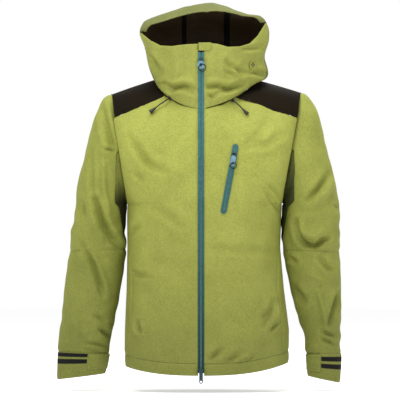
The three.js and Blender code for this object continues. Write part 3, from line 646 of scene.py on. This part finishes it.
class Cloth:
    """A piece of cloth cut from a surface: its outer face, its normals, and lengths along it."""

    def __init__(self, surface, size, region, lift=0.0, closed=False, middle=(0, 0, 400), roll=1.0):
        columns, rows = size
        step = np.arange(columns) / columns if closed else np.linspace(0, 1, columns + 1)
        u, v = np.meshgrid(step, np.linspace(0, 1, rows + 1))
        base = surface(u, v)
        along_u = np.gradient(np.concatenate([base[:, -1:], base, base[:, :1]], 1), axis=1)[:, 1:-1]
        along_u = along_u if closed else np.gradient(base, axis=1)
        normal = np.cross(along_u, np.gradient(base, axis=0))
        size_of = np.linalg.norm(normal, axis=-1, keepdims=True)
        normal = normal / np.maximum(size_of, 1e-9)
        self.flip = np.median(((base - np.array(middle)) * normal).sum(-1)) < 0
        if self.flip:
            normal = -normal
        self.closed = closed
        self.base = base
        self.declared = region not in ("band", "strip")
        self.along = self.lengths(base, 1)
        self.down = self.lengths(base, 0)
        edge = np.minimum(self.down, self.down[-1:] - self.down)
        if not closed:
            edge = np.minimum(edge, np.minimum(self.along, self.along[:, -1:] - self.along))
        rolled = roll * (1.0 - np.exp(-(edge / 4.5) ** 2) * 1.6)
        pucker = 0.28 * roll * np.sin((self.along + self.down) / 2.3) * np.exp(-(edge / 6.0) ** 2)
        ramp = smooth(0, 10, edge) * 0.75 + 0.25
        out = lift + rolled + pucker + relief(region, base, normal) * ramp
        self.points = base + normal * out[..., None]
        self.normal = normal

    @staticmethod
    def lengths(base, axis):
        step = np.linalg.norm(np.diff(base, axis=axis), axis=-1)
        total = np.cumsum(step, axis=axis)
        return np.concatenate([np.zeros_like(np.take(total, [0], axis)), total], axis)

    def build(self, name, thickness, material, slot, nodes=None, body="shell"):
        rows, columns = self.points.shape[:2]
        inner = self.points - self.normal * thickness
        points = np.concatenate([self.points.reshape(-1, 3), inner.reshape(-1, 3)])
        count = rows * columns
        faces = grid_faces(rows, columns, 0, self.closed, self.flip)
        faces += grid_faces(rows, columns, count, self.closed, not self.flip)
        faces += rim_faces(rows, columns, count, self.closed, self.flip)
        middle = self.along.max() / 2
        flat = np.stack([self.along - middle, self.down], -1).reshape(-1, 2) / 1000.0
        obj = new_object(name, points, faces, np.concatenate([flat, flat]), body)
        dress(obj, material, slot, *([name] if nodes is None else nodes))
        if self.declared:
            self.declare()
        return self

    def declare(self):
        """A piece whose area is a small share of that rectangle is declared by its mean width instead,
        which is less than the widest place it was cut to. The result is not kept.
        """
        base = self.base
        if self.closed:
            base = np.concatenate([base, base[:, :1]], 1)
        across = base[:-1, 1:] - base[1:, :-1]
        other = base[1:, 1:] - base[:-1, :-1]
        area = np.linalg.norm(np.cross(across, other), axis=-1).sum() / 2e6
        around = np.linalg.norm(np.diff(base, axis=1), axis=-1).sum(1).max() / 1000
        down = self.down.max() / 1000
        if area < LEAST_AREA_SHARE * around * down:
            around = area / down

    def line(self, edge, inset, lift=0.1):
        """Points and normals along an edge, `inset` mm in from it."""
        sideways = edge in ("first", "last")
        points, normal = self.points, self.normal
        run = self.along if sideways else self.down
        if not sideways:
            points, normal, run = (np.swapaxes(a, 0, 1) for a in (points, normal, run))
        rows = []
        for p, n, lengths in zip(points, normal, run):
            at = inset if edge in ("first", "foot") else lengths[-1] - inset
            spot = [np.interp(at, lengths, p[:, k]) for k in range(3)]
            out = [np.interp(at, lengths, n[:, k]) for k in range(3)]
            rows.append(np.array(spot) + np.array(out) * lift)
        rows = np.array(rows)
        return np.concatenate([rows, rows[:1]]) if self.closed else rows


THREADS = {}


def stitch(line, tone, body="shell", pitch=4.2, length=2.7, radius=0.34):
    """Keeps a row of stitches along a line of points, to be made with the others of its tone."""
    THREADS.setdefault((tone, body), []).append((np.asarray(line), pitch, length, radius))


def stitch_edges(cloth, tone, **insets):
    """Rows of stitches along a piece's edges: each name is an edge and each value its inset in mm."""
    for edge, inset in insets.items():
        stitch(cloth.line(edge, inset), tone)


def make_stitches(name, rows, material, slot, body):
    points, faces = [], []
    around = 5
    for line, pitch, length, radius in rows:
        step = np.linalg.norm(np.diff(line, axis=0), axis=1)
        reach = np.concatenate([[0], np.cumsum(step)])
        for start in np.arange(pitch * 0.5, reach[-1] - length, pitch):
            ends = [np.array([np.interp(start + s * length, reach, line[:, k]) for k in range(3)])
                    for s in (0, 0.5, 1)]
            axis = ends[2] - ends[0]
            size = np.linalg.norm(axis)
            if size < 1e-6:
                continue
            axis /= size
            side = np.cross(axis, [0.3, 0.5, 0.8])
            side /= np.linalg.norm(side)
            up = np.cross(axis, side)
            first = len(points)
            for centre, share in zip(ends, (0.45, 1.0, 0.45)):
                for k in range(around):
                    turn = 2 * math.pi * k / around
                    points.append(centre + radius * share * (math.cos(turn) * side + math.sin(turn) * up))
            for ring in range(2):
                for k in range(around):
                    m = (k + 1) % around
                    a = first + ring * around
                    faces.append((a + k, a + m, a + around + m, a + around + k))
            faces.append(tuple(first + k for k in reversed(range(around))))
            faces.append(tuple(first + 2 * around + k for k in range(around)))
    if points:
        dress(new_object(name, np.array(points), faces, body=body), material, slot)


def refined(node, material, slot, body="shell", bevel=0.35, subdivide=0, name=None):
    """A rounded, finer copy of a CAD node, which then stands for it."""
    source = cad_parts[node]
    mesh = source.data.copy()
    mesh.name = name or node + "_fine"
    bm = bmesh.new()
    bm.from_mesh(mesh)
    bmesh.ops.remove_doubles(bm, verts=bm.verts, dist=2e-6)
    bmesh.ops.dissolve_limit(bm, angle_limit=math.radians(1.5), verts=bm.verts, edges=bm.edges)
    if bevel:
        sharp = [e for e in bm.edges if len(e.link_faces) == 2 and e.calc_face_angle(0) > math.radians(38)]
        bmesh.ops.bevel(bm, geom=sharp, offset=bevel / 1000.0, segments=3, profile=0.6,
                        affect="EDGES", clamp_overlap=True)
    bm.to_mesh(mesh)
    bm.free()
    obj = bpy.data.objects.new(mesh.name, mesh)
    bpy.context.scene.collection.objects.link(obj)
    mesh.polygons.foreach_set("use_smooth", np.ones(len(mesh.polygons), bool))
    mesh.set_sharp_from_angle(angle=math.radians(50))
    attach(obj, body)
    return dress(obj, material, slot, node)


# ---------------------------------------------------------------- materials

def colour(code, gain=1.0):
    """A hex colour as linear light."""
    parts = [int(code[k:k + 2], 16) / 255 for k in (1, 3, 5)]
    linear = [c / 12.92 if c <= 0.04045 else ((c + 0.055) / 1.055) ** 2.4 for c in parts]
    return (*[min(c * gain, 1.0) for c in linear], 1.0)


class Nodes:
    """Short ways to add and join shader nodes."""

    def __init__(self, name):
        self.material = bpy.data.materials.new(name)
        self.material.use_nodes = True
        self.tree = self.material.node_tree
        self.shader = self.tree.nodes["Principled BSDF"]
        self.place = self.add("ShaderNodeTexCoord")

    def add(self, kind, links=None, **settings):
        node = self.tree.nodes.new(kind)
        for key, value in settings.items():
            if hasattr(node, key):
                setattr(node, key, value)
            else:
                node.inputs[key.replace("_", " ").title()].default_value = value
        for socket, source in (links or {}).items():
            self.tree.links.new(source, node.inputs[socket])
        return node

    def math(self, operation, a, b=None, clamp=False):
        node = self.add("ShaderNodeMath", operation=operation, use_clamp=clamp)
        for k, value in enumerate((a, b)):
            if value is None:
                continue
            if isinstance(value, (int, float)):
                node.inputs[k].default_value = value
            else:
                self.tree.links.new(value, node.inputs[k])
        return node.outputs[0]

    def noise(self, size_mm, detail=3.0, rough=0.55, stretch=(1, 1, 1), source="Object"):
        scaled = self.add("ShaderNodeMapping", {"Vector": self.place.outputs[source]})
        scaled.inputs["Scale"].default_value = tuple(1000.0 / size_mm / s for s in stretch)
        node = self.add("ShaderNodeTexNoise", {"Vector": scaled.outputs[0]}, scale=1.0, detail=detail)
        node.inputs["Roughness"].default_value = rough
        return node.outputs["Fac"]

    def spread(self, value, low, high, out_low=0.0, out_high=1.0):
        node = self.add("ShaderNodeMapRange", {"Value": value})
        limits = {"From Min": low, "From Max": high, "To Min": out_low, "To Max": out_high}
        for key, number in limits.items():
            node.inputs[key].default_value = number
        return node.outputs[0]

    def blend(self, factor, a, b):
        node = self.add("ShaderNodeMix", data_type="RGBA")
        for index, value in ((0, factor), (6, a), (7, b)):
            if isinstance(value, (tuple, float, int)):
                node.inputs[index].default_value = value
            else:
                self.tree.links.new(value, node.inputs[index])
        return node.outputs[2]

    def join(self, source, socket):
        self.tree.links.new(source, self.shader.inputs[socket])

    def bump(self, height, distance_mm, strength=1.0, under=None):
        node = self.add("ShaderNodeBump", {"Height": height})
        node.inputs["Distance"].default_value = distance_mm / 1000.0
        node.inputs["Strength"].default_value = strength
        if under is not None:
            self.tree.links.new(under, node.inputs["Normal"])
        return node.outputs[0]


def woven(name, light, dark, pitch=0.9, roughness=0.78, sheen=0.25, mottle=0.5, depth=0.12, bands=None,
          tone=None, specular=0.28):
    """Woven cloth: threads two ways, heathered yarn and soft patches; with tone, painted shade that darkens
    it towards the bottom.
    """
    n = Nodes(name)
    source = n.place.outputs["UV"]
    threads = []
    for axis in ("X", "Y"):
        wave = n.add("ShaderNodeTexWave", {"Vector": source}, wave_type="BANDS", bands_direction=axis)
        wave.inputs["Scale"].default_value = 1000.0 / pitch / 3.1416 / 2
        wave.inputs["Distortion"].default_value = 0.6
        threads.append(wave.outputs["Fac"])
    weave = n.math("MULTIPLY", n.math("ADD", threads[0], threads[1]), 0.5)
    yarn = n.noise(1.9, 3.0, 0.7, (1, 1, 3.0))
    cross_yarn = n.noise(2.1, 3.0, 0.7, (3.4, 1, 1))
    heather = n.math("MULTIPLY", n.math("ADD", yarn, cross_yarn), 0.5)
    patches = n.noise(55, 4.0, 0.6)
    amount = n.math("ADD", n.math("MULTIPLY", n.spread(heather, 0.36, 0.64), 0.62),
                    n.math("MULTIPLY", n.spread(patches, 0.3, 0.7), mottle * 0.6))
    amount = n.math("ADD", amount, n.math("MULTIPLY", weave, 0.16), clamp=True)
    shade = n.blend(amount, colour(dark), colour(light))
    # tone is (low, high, gain) in metres of height: below low the colours are scaled by gain, rising back to
    # full colour at high. This is painted shade, the cloth darker lower down where less light falls.
    if tone:
        low, high, gain = tone
        up = n.add("ShaderNodeSeparateXYZ", {"Vector": n.place.outputs["Object"]}).outputs[2]
        ramp = n.spread(up, low, high, 0.0, 1.0)
        shaded_colour = n.blend(amount, colour(dark, gain), colour(light, gain))
        shade = n.blend(ramp, shaded_colour, shade)
    if bands:
        across = n.add("ShaderNodeSeparateXYZ", {"Vector": n.place.outputs["Object"]}).outputs[0]
        for centre, half in bands:
            off = n.math("ABSOLUTE", n.math("SUBTRACT", across, centre / 1000.0))
            mask = n.spread(off, half / 1000.0, (half + 1.2) / 1000.0, 1.0, 0.0)
            shade = n.blend(mask, shade, colour("#0b0907"))
    n.join(shade, "Base Color")
    n.join(n.spread(n.math("ADD", heather, patches), 0.7, 1.3, roughness - 0.09, roughness + 0.09),
           "Roughness")
    n.shader.inputs["Sheen Weight"].default_value = sheen
    n.shader.inputs["Sheen Roughness"].default_value = 0.5
    n.shader.inputs["Sheen Tint"].default_value = colour(light)
    n.shader.inputs["Specular IOR Level"].default_value = specular
    coarse = n.bump(n.noise(9, 3.0, 0.6), 0.35, 0.35)
    fine = n.bump(n.math("ADD", weave, n.math("MULTIPLY", heather, 0.8)), depth, 0.7, coarse)
    n.join(fine, "Normal")
    return n.material


def moulded(name, light, dark, roughness=0.42, grain=0.25, metallic=0.0, wear=None):
    """Moulded plastic or cast metal with fine grain, scuffs and lighter rubbed spots."""
    n = Nodes(name)
    patches = n.noise(3.5, 4.0, 0.65)
    speck = n.noise(0.5, 2.0, 0.5)
    amount = n.math("ADD", n.math("MULTIPLY", patches, 0.7), n.math("MULTIPLY", speck, 0.3))
    shade = n.blend(n.spread(amount, 0.35, 0.65), colour(dark), colour(light))
    if wear:
        scratch = n.spread(n.noise(1.6, 5.0, 0.75, (1, 1, 5)), 0.6, 0.72)
        shade = n.blend(n.math("MULTIPLY", scratch, 0.6), shade, colour(wear))
    n.join(shade, "Base Color")
    n.join(n.spread(patches, 0.3, 0.7, roughness - 0.1, roughness + 0.12), "Roughness")
    n.shader.inputs["Metallic"].default_value = metallic
    n.shader.inputs["Coat Weight"].default_value = 0.08
    n.join(n.bump(n.math("ADD", speck, patches), 0.06, grain), "Normal")
    return n.material


def braided(name, light, dark, pitch=1.6):
    """Braided cord: two sets of crossing strands."""
    n = Nodes(name)
    strands = []
    for lean in (1, -1):
        turned = n.add("ShaderNodeMapping", {"Vector": n.place.outputs["UV"]})
        turned.inputs["Rotation"].default_value = (0, 0, math.radians(38 * lean))
        wave = n.add("ShaderNodeTexWave", {"Vector": turned.outputs[0]})
        wave.inputs["Scale"].default_value = 1000.0 / pitch / 6.3
        strands.append(wave.outputs["Fac"])
    high = n.math("MAXIMUM", strands[0], strands[1])
    fuzz = n.noise(0.6, 3.0, 0.6)
    amount = n.math("ADD", n.math("MULTIPLY", high, 0.6), n.math("MULTIPLY", fuzz, 0.4))
    n.join(n.blend(amount, colour(dark), colour(light)), "Base Color")
    n.join(n.spread(fuzz, 0.3, 0.7, 0.62, 0.85), "Roughness")
    n.shader.inputs["Sheen Weight"].default_value = 0.04
    n.join(n.bump(high, 0.2, 0.8), "Normal")
    return n.material


# The shell and sleeve greens carry painted shade through tone: darker towards the hem and the cuffs.
GREEN = woven("shell_green", "#a6ab52", "#787c2c", tone=(-0.70, -0.16, 0.52))
SLEEVE_GREEN = woven("sleeve_green", "#9ea34c", "#6d7228", tone=(-0.70, -0.10, 0.52))
# The underarm gussets get darker copies of the sleeve green, one for each side, and tone makes them darker
# again towards the bottom: painted shade where the sleeve hangs against the body.
UNDERARM_SHADE = {
    "right": woven("underarm_shade_right", "#7d8238", "#5b6024", sheen=0.05, tone=(-0.310, -0.246, 0.10)),
    "left": woven("underarm_shade_left", "#5a6026", "#3c4218", sheen=0.05, tone=(-0.28, -0.19, 0.4)),
}
COLLAR_GREEN = woven("collar_green", "#9a9e4c", "#70742c")
HOOD_GREEN = woven("hood_green", "#7c8049", "#565a2e")
# tone paints shade on the dark brown: slightly darker towards the bottom.
BROWN = woven("dark_brown", "#1d160b", "#100c05", roughness=0.85, sheen=0.0, specular=0.08,
              tone=(-0.6, -0.1, 0.9))
LINING = woven("lining_brown", "#63503c", "#443527", pitch=0.7, roughness=0.6, sheen=0.1,
               bands=((-40, 5), (61.5, 6.5)))
# tone paints shade on the zip tape: much darker towards the hem.
TEAL_TAPE = woven("zip_blue", "#4d7c7b", "#2a5254", pitch=0.8, roughness=0.72, sheen=0.05,
                  tone=(-0.72, -0.05, 0.2), specular=0.1)
TEAL_TEETH = moulded("zip_plastic", "#41706f", "#234647", 0.36)
TEAL_METAL = moulded("slider_metal", "#2c4b50", "#11262b", 0.36, metallic=0.45, wear="#6f9498")
DARK_METAL = moulded("slider_dark", "#191d1d", "#0a0c0c", 0.38, metallic=0.4, wear="#5d6462")
PULL = moulded("pull_plastic", "#6f93a3", "#476a7b", 0.38, wear="#9dbcc6")
BLACK = woven("trim_black", "#100f0c", "#070605", pitch=0.8, roughness=0.85, sheen=0.0)
BLACK_PLASTIC = moulded("cord_plastic", "#0f0e0c", "#050504", 0.5, wear="#26251f")
HOOK = woven("hook_tape", "#0b0c0b", "#040505", pitch=1.6, roughness=0.95, sheen=0.0, depth=0.5)
CORD = braided("cord_braid", "#11100d", "#050504")
GREEN_THREAD = moulded("green_thread", "#a2a75c", "#7d8242", 0.7)
DARK_THREAD = moulded("dark_thread", "#2a241a", "#15110b", 0.7)
TEAL_THREAD = moulded("teal_thread", "#4f7f7d", "#2e5654", 0.7)


# ---------------------------------------------------------------- camera, light and floor

SENSOR = 36.0
CAMERA_DISTANCE = 12.0
FRAMED_DEPTH = 0.07
VIEW_WIDTH = 0.940
VIEW_CENTRE = (-0.0024, -0.305)
WORLD_LIGHT = 0.55
KEY_POWER = 64.0
TOP_POWER = 60.0
FILL_POWER = 12.0
BACK_POWER = 45.0
FLOOR_GLOW = 0.5
FLOOR_RADIUS = 9.0
FLOOR_GAP = 0.02


def look_from_front():
    camera = bpy.data.cameras.new("camera")
    camera.sensor_width = SENSOR
    camera.lens = SENSOR * (CAMERA_DISTANCE - FRAMED_DEPTH) / VIEW_WIDTH
    obj = bpy.data.objects.new("camera", camera)
    bpy.context.scene.collection.objects.link(obj)
    obj.location = (VIEW_CENTRE[0], -CAMERA_DISTANCE - LOOP_Y / 1000, VIEW_CENTRE[1])
    obj.rotation_euler = (math.radians(90), 0, 0)
    camera.clip_end = 30
    bpy.context.scene.camera = obj


def add_light(name, place, target, size, power, tint=(1, 1, 1)):
    light = bpy.data.lights.new(name, "AREA")
    light.shape = "RECTANGLE"
    light.size, light.size_y = size
    light.energy = power
    light.color = tint
    obj = bpy.data.objects.new(name, light)
    bpy.context.scene.collection.objects.link(obj)
    obj.location = place
    aim = Vector(target) - Vector(place)
    obj.rotation_euler = aim.to_track_quat("-Z", "Y").to_euler()


def studio():
    bpy.context.scene.view_settings.view_transform = "Standard"
    world = bpy.data.worlds.new("studio")
    bpy.context.scene.world = world
    world.use_nodes = True
    tree = world.node_tree
    around = tree.nodes["Background"]
    around.inputs["Color"].default_value = (1, 1, 1, 1)
    around.inputs["Strength"].default_value = WORLD_LIGHT
    seen = tree.nodes.new("ShaderNodeBackground")
    seen.inputs["Color"].default_value = (1, 1, 1, 1)
    path = tree.nodes.new("ShaderNodeLightPath")
    mixer = tree.nodes.new("ShaderNodeMixShader")
    tree.links.new(path.outputs["Is Camera Ray"], mixer.inputs[0])
    tree.links.new(around.outputs[0], mixer.inputs[1])
    tree.links.new(seen.outputs[0], mixer.inputs[2])
    tree.links.new(mixer.outputs[0], tree.nodes["World Output"].inputs["Surface"])
    add_light("key", (-1.1, -2.6, 2.2), (0, 0, -0.25), (1.3, 1.0), KEY_POWER)
    add_light("top", (0.2, -0.9, 2.6), (0, 0, -0.1), (1.8, 1.2), TOP_POWER)
    add_light("fill", (2.4, -2.6, 0.3), (0, 0, -0.3), (1.4, 2.0), FILL_POWER)
    add_light("back", (0.6, 3.0, 1.9), (0, 0, -0.25), (2.0, 1.6), BACK_POWER)
    white = Nodes("studio_white")
    white.join(white.blend(white.noise(400, 2.0), (0.8, 0.8, 0.8, 1), (0.84, 0.84, 0.84, 1)), "Base Color")
    white.shader.inputs["Roughness"].default_value = 0.9
    white.shader.inputs["Emission Color"].default_value = (1, 1, 1, 1)
    white.shader.inputs["Emission Strength"].default_value = FLOOR_GLOW
    bm = bmesh.new()
    bmesh.ops.create_circle(bm, cap_ends=True, segments=96, radius=FLOOR_RADIUS)
    mesh = bpy.data.meshes.new("floor")
    bm.to_mesh(mesh)
    bm.free()
    floor = bpy.data.objects.new("floor", mesh)
    bpy.context.scene.collection.objects.link(floor)
    floor.location.z = CAD_BOX[0][2] - FLOOR_GAP
    mesh.materials.append(white.material)


look_from_front()


# ---------------------------------------------------------------- drawcords

DRAWCORDS = [
    ("right", [(-75, -110.5, 649), (-79, -114.5, 646.5), (-87, -117, 641), (-96, -118.5, 635),
               (-106, -120.5, 627)], (2.6, 5.0)),
    ("left", [(75, -116, 644), (77.5, -120, 642), (82.5, -122, 638), (88.5, -123, 633),
              (97.5, -123.5, 624)], (2.4, 4.4)),
]
CORD_RADIUS = 1.5


def turned(name, start, direction, profile, around=32, closed_ends=True):
    """A turned solid along a direction: profile is (radius, distance along) pairs in mm."""
    direction = np.asarray(direction, float) / np.linalg.norm(direction)
    side = np.cross(direction, [0, 1, 0])
    side /= np.linalg.norm(side)
    up = np.cross(direction, side)
    turn = np.arange(around) * 2 * math.pi / around
    circle = np.cos(turn)[:, None] * side + np.sin(turn)[:, None] * up
    rings = [np.asarray(start) + direction * y + r * circle for r, y in profile]
    faces = grid_faces(len(rings), around, 0, True, True)
    if closed_ends:
        faces.append(tuple(range(around)))
        last = (len(rings) - 1) * around
        faces.append(tuple(last + k for k in reversed(range(around))))
    return new_object(name, np.concatenate(rings), faces)


def drawcord(side, route, radii):
    steps, around = 90, 20
    path = spline(route, np.linspace(0, 1, steps + 1))
    step = np.linalg.norm(np.diff(path, axis=0), axis=1)
    reach = np.concatenate([[0], np.cumsum(step)])
    tangent = np.gradient(path, axis=0)
    tangent /= np.linalg.norm(tangent, axis=1, keepdims=True)
    across = np.cross(tangent, [0, 1, 0])
    across /= np.linalg.norm(across, axis=1, keepdims=True)
    over = np.cross(tangent, across)
    turn = np.arange(around) * 2 * math.pi / around
    strand, twist = 3 * turn[None], reach[:, None] * 1.5
    braid = np.abs(np.sin(strand + twist) * np.sin(strand - twist))
    radius = CORD_RADIUS * (0.93 + 0.09 * np.sqrt(braid))
    ring = np.cos(turn)[None, :, None] * across[:, None] + np.sin(turn)[None, :, None] * over[:, None]
    points = path[:, None] + ring * radius[..., None]
    faces = grid_faces(steps + 1, around, 0, True, True)
    faces.append(tuple(range(around)))
    faces.append(tuple(steps * around + k for k in reversed(range(around))))
    uvs = np.stack(np.broadcast_arrays(turn[None] * CORD_RADIUS, reach[:, None]), -1).reshape(-1, 2) / 1000
    obj = new_object(f"{side}_drawcord_braid", points.reshape(-1, 3), faces, uvs)
    dress(obj, CORD, "cord_plastic", f"{side}_drawcord")

    neck_radius, mouth = radii
    bell = [(0.7, 0.3), (neck_radius - 0.5, 0.3), (neck_radius, 0.9), (neck_radius, 3.6),
            (neck_radius + 0.45, 4.1), (neck_radius + 0.45, 5.0), (neck_radius + 0.1, 5.6)]
    for k in range(9):
        share = k / 8
        ridge = 0.22 if k % 2 else 0.0
        bell.append((mix(neck_radius + 0.2, mouth, share**1.1) + ridge, mix(6.2, 14.8, share)))
    bell += [(mouth, 15.4), (mouth * 0.93, 16.6), (mouth * 0.75, 17.0), (mouth * 0.6, 16.2), (0.8, 15.9)]
    end = turned(f"{side}_cord_bell", path[-1], tangent[-1], bell)
    dress(end, BLACK_PLASTIC, "cord_plastic", f"{side}_cord_end")
    eyelet = [(1.7, -2.2), (4.4, -2.2), (4.6, -1.8), (4.6, -1.3), (4.2, -0.8), (3.2, -0.4),
              (2.2, -0.3), (1.7, -0.6)]
    eye = turned(f"{side}_cord_ring", path[0], tangent[0], eyelet, 36)
    dress(eye, BLACK_PLASTIC, "trim_black", f"{side}_cord_eyelet")


for cord_side, cord_route, cord_radii in DRAWCORDS:
    drawcord(cord_side, cord_route, cord_radii)


# ---------------------------------------------------------------- body

def make_body(side):
    name = side["name"]
    front = Cloth(front_panel(side), (72, 208), "body")
    front.build(f"{name}_front_panel_cloth", CLOTH, GREEN, "shell_green", [f"{name}_front_panel"])
    stitch_edges(front, "green", first=3.2, top=3.0, foot=2.6)
    panel = Cloth(side_panel(side), (20, 120), "panel")
    panel.build(f"{name}_side_panel_cloth", CLOTH, GREEN, "shell_green", [f"{name}_side_panel"])
    stitch_edges(panel, "green", first=2.6, last=2.6)
    cap = Cloth(yoke(side), (48, 84), "panel")
    cap.build(f"{name}_yoke_cloth", CLOTH, BROWN, "dark_brown", [f"{name}_shoulder_yoke"])
    stitch_edges(cap, "dark", foot=2.4, top=2.4)
    start = float(angle_at(side, ZIP_OPENING / 2 + SEAM, 10.0))
    hem = Cloth(hem_band(side, start, -0.6), (78, 12), "band")
    hem.build(f"{name}_hem_cloth", BAND, GREEN, "shell_green", [f"{name}_hem_band"])
    stitch_edges(hem, "green", top=2.6, foot=3.0)


def make_back():
    back = Cloth(back_panel, (140, 200), "body")
    back.build("back_panel_cloth", CLOTH, GREEN, "shell_green", ["back_panel"])
    stitch_edges(back, "green", top=3.0, foot=2.6)
    hem = Cloth(back_hem, (140, 12), "band")
    hem.build("back_hem_cloth", BAND, GREEN, "shell_green", ["back_hem_band"])
    stitch_edges(hem, "green", foot=3.0)


def make_sleeve(side):
    name = side["name"]
    region = f"{name}_sleeve"
    elbow, cuff = sleeve_shares(side)
    middle = (side["sign"] * 262, 0, 300)
    upper = Cloth(sleeve_part(side, 0.001, elbow + 0.002, green_angles), (96, 116), region, middle=middle)
    upper.build(f"{name}_upper_sleeve_cloth", CLOTH, SLEEVE_GREEN, "shell_green", [f"{name}_upper_sleeve"])
    stitch_edges(upper, "green", foot=2.6)
    # The gusset strip takes the darker underarm green: painted shade under the arm.
    gusset = Cloth(sleeve_part(side, 0.001, elbow + 0.002, gusset_angles), (30, 116), region, middle=middle)
    gusset.build(f"{name}_gusset_cloth", CLOTH, UNDERARM_SHADE[name], "shell_green", [f"{name}_underarm_gusset"])
    lower = Cloth(sleeve_part(side, elbow - 0.001, cuff + 0.001), (120, 84), region, closed=True,
                  middle=middle)
    lower.build(f"{name}_lower_sleeve_cloth", CLOTH, SLEEVE_GREEN, "shell_green", [f"{name}_lower_sleeve"])
    stitch_edges(lower, "green", foot=2.6)
    band = Cloth(sleeve_part(side, cuff + 0.0006, 0.9994), (120, 18), "band", closed=True, middle=middle)
    band.build(f"{name}_cuff_cloth", BAND, SLEEVE_GREEN, "shell_green", [f"{name}_cuff"])
    stitch_edges(band, "green", foot=3.0, top=2.4)

    def plate(angles, shares):
        ring = sleeve(side)
        return lambda u, v: ring(mix(angles[0], angles[1], u), mix(cuff, 1, mix(shares[0], shares[1], v)))

    for level, shares in zip(("upper", "lower"), side["strips"]):
        strip = Cloth(plate((100, 4), shares), (44, 6), "strip", lift=1.6, middle=middle, roll=0.25)
        node = f"{name}_cuff_strip_{level}"
        strip.build(f"{node}_hook", 1.0, HOOK, "hook_tape", [node])
        stitch_edges(strip, "dark", foot=1.2, top=1.2)
    body = f"{name}_cuff_tab"
    tab = Cloth(plate((176, 103), (0.06, 0.74)), (36, 14), "strip", lift=2.6, middle=middle, roll=0.4)
    tab.build(f"{body}_cloth", 2.0, SLEEVE_GREEN, "shell_green", [body], body=body)
    for edge in ("foot", "top", "last"):
        stitch(tab.line(edge, 2.2), "green", body)


def make_hood():
    middle = (15, 20, 740)
    for side in SIDES:
        name = side["name"]
        stand = Cloth(collar(side), (66, 56), "collar", middle=middle)
        stand.build(f"{name}_collar_cloth", CLOTH, COLLAR_GREEN, "shell_green", [f"{name}_collar"])
        stitch_edges(stand, "green", top=5.0, first=3.2, foot=2.6)
    panels = (("right", 0, HOOD_SEAMS[0]), ("center", *HOOD_SEAMS), ("left", HOOD_SEAMS[1], 1))
    for place, start, end in panels:
        panel = Cloth(hood_part(start, end), (70, 84), "hood", middle=middle)
        panel.build(f"hood_{place}_cloth", CLOTH, HOOD_GREEN, "shell_green", [f"hood_{place}_panel"])
        if place == "center":
            stitch_edges(panel, "green", first=2.6, last=2.6)
    inside = Cloth(hood_part(0.06, 0.94), (110, 70), "lining", lift=-CLOTH - LINING_GAP,
                   middle=middle, roll=0.3)
    inside.build("hood_lining_cloth", 1.0, LINING, "lining_brown", ["hood_lining"])
    peak = Cloth(brim, (110, 18), "band", middle=middle)
    peak.build("hood_brim_cloth", CLOTH, HOOD_GREEN, "shell_green", ["hood_brim"])
    stitch_edges(peak, "green", top=3.0)
    stitch_edges(peak, "green", top=6.0)


for cloth_side in SIDES:
    make_body(cloth_side)
    make_sleeve(cloth_side)
make_back()
make_hood()


# ---------------------------------------------------------------- small parts

refined("storm_flap", GREEN, "shell_green", bevel=0.5)
refined("right_zip_tape", TEAL_TAPE, "zip_blue", bevel=0.25)
refined("left_zip_tape", TEAL_TAPE, "zip_blue", bevel=0.25)
refined("zip_coil", TEAL_TEETH, "zip_plastic", bevel=0.2)
refined("chest_zip_tape", TEAL_TAPE, "zip_blue", bevel=0.35)
refined("chest_zip_coil", TEAL_TEETH, "zip_plastic", bevel=0.2)
refined("chest_pocket_bag", BROWN, "dark_brown", bevel=0.3)
refined("chin_guard", COLLAR_GREEN, "shell_green", bevel=0.6)
refined("hood_vent_patch", COLLAR_GREEN, "shell_green", bevel=0.3)
low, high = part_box("hood_vent_patch")
vent_middle = np.array((low + high) / 2) * 1000 + ORIGIN
VENT_ANGLE = math.radians(50)
vent_out = np.array([math.sin(VENT_ANGLE), -math.cos(VENT_ANGLE), 0.0])
vent_side = np.array([vent_out[1], -vent_out[0], 0.0])
# The CAD's patch lies behind the collar's cloth, so the cloth one is lifted onto its outer face.
VENT_LIFT = 7.8
VENT_RING = 4.0
for vertex in bpy.data.objects["hood_vent_patch_fine"].data.vertices:
    vertex.co += Vector([float(step) * VENT_LIFT / 1000 for step in vent_out])
# Black rings set in the patch's four holes: their black is painted shade, standing for the dark inside the
# holes.
for hole in range(4):
    hole_turn = math.radians(90 * hole)
    round_patch = math.cos(hole_turn) * vent_side + math.sin(hole_turn) * np.array([0, 0, 1.0])
    spot = vent_middle + VENT_LIFT * vent_out + VENT_RING * round_patch
    rim = [(0.5, -0.3), (0.5, 0.3), (1.3, 0.5), (1.8, 0.8), (2.1, 0.7), (2.1, 0.3), (1.6, -0.4)]
    eyelet = turned(f"vent_hole_shade_ring_{hole + 1}", spot, vent_out, rim, 20)
    dress(eyelet, BLACK_PLASTIC, "trim_black")
refined("hanger_loop", BLACK, "trim_black", bevel=0.5)
refined("neck_tape", BLACK, "trim_black", bevel=0.3)
refined("top_slider", TEAL_METAL, "slider_metal", "top_slider", bevel=0.7)
refined("top_pull", PULL, "pull_plastic", "top_pull", bevel=0.55)
refined("top_pull_loop", BLACK, "trim_black", "top_pull", bevel=0)
refined("lower_slider", TEAL_METAL, "slider_metal", "lower_slider", bevel=0.7)
refined("lower_pull", TEAL_METAL, "slider_metal", "lower_pull", bevel=0.5)
refined("chest_slider", DARK_METAL, "slider_dark", "chest_slider", bevel=0.7)
refined("chest_pull", PULL, "pull_plastic", "chest_pull", bevel=0.55)
refined("chest_pull_loop", BLACK, "trim_black", "chest_pull", bevel=0)

THREAD_LOOKS = {"green": (GREEN_THREAD, "shell_green"), "dark": (DARK_THREAD, "dark_brown"),
                "teal": (TEAL_THREAD, "zip_blue")}
for (thread_tone, thread_body), thread_rows in THREADS.items():
    look, thread_slot = THREAD_LOOKS[thread_tone]
    make_stitches(f"stitches_{thread_tone}_{thread_body}", thread_rows, look, thread_slot, thread_body)

studio()
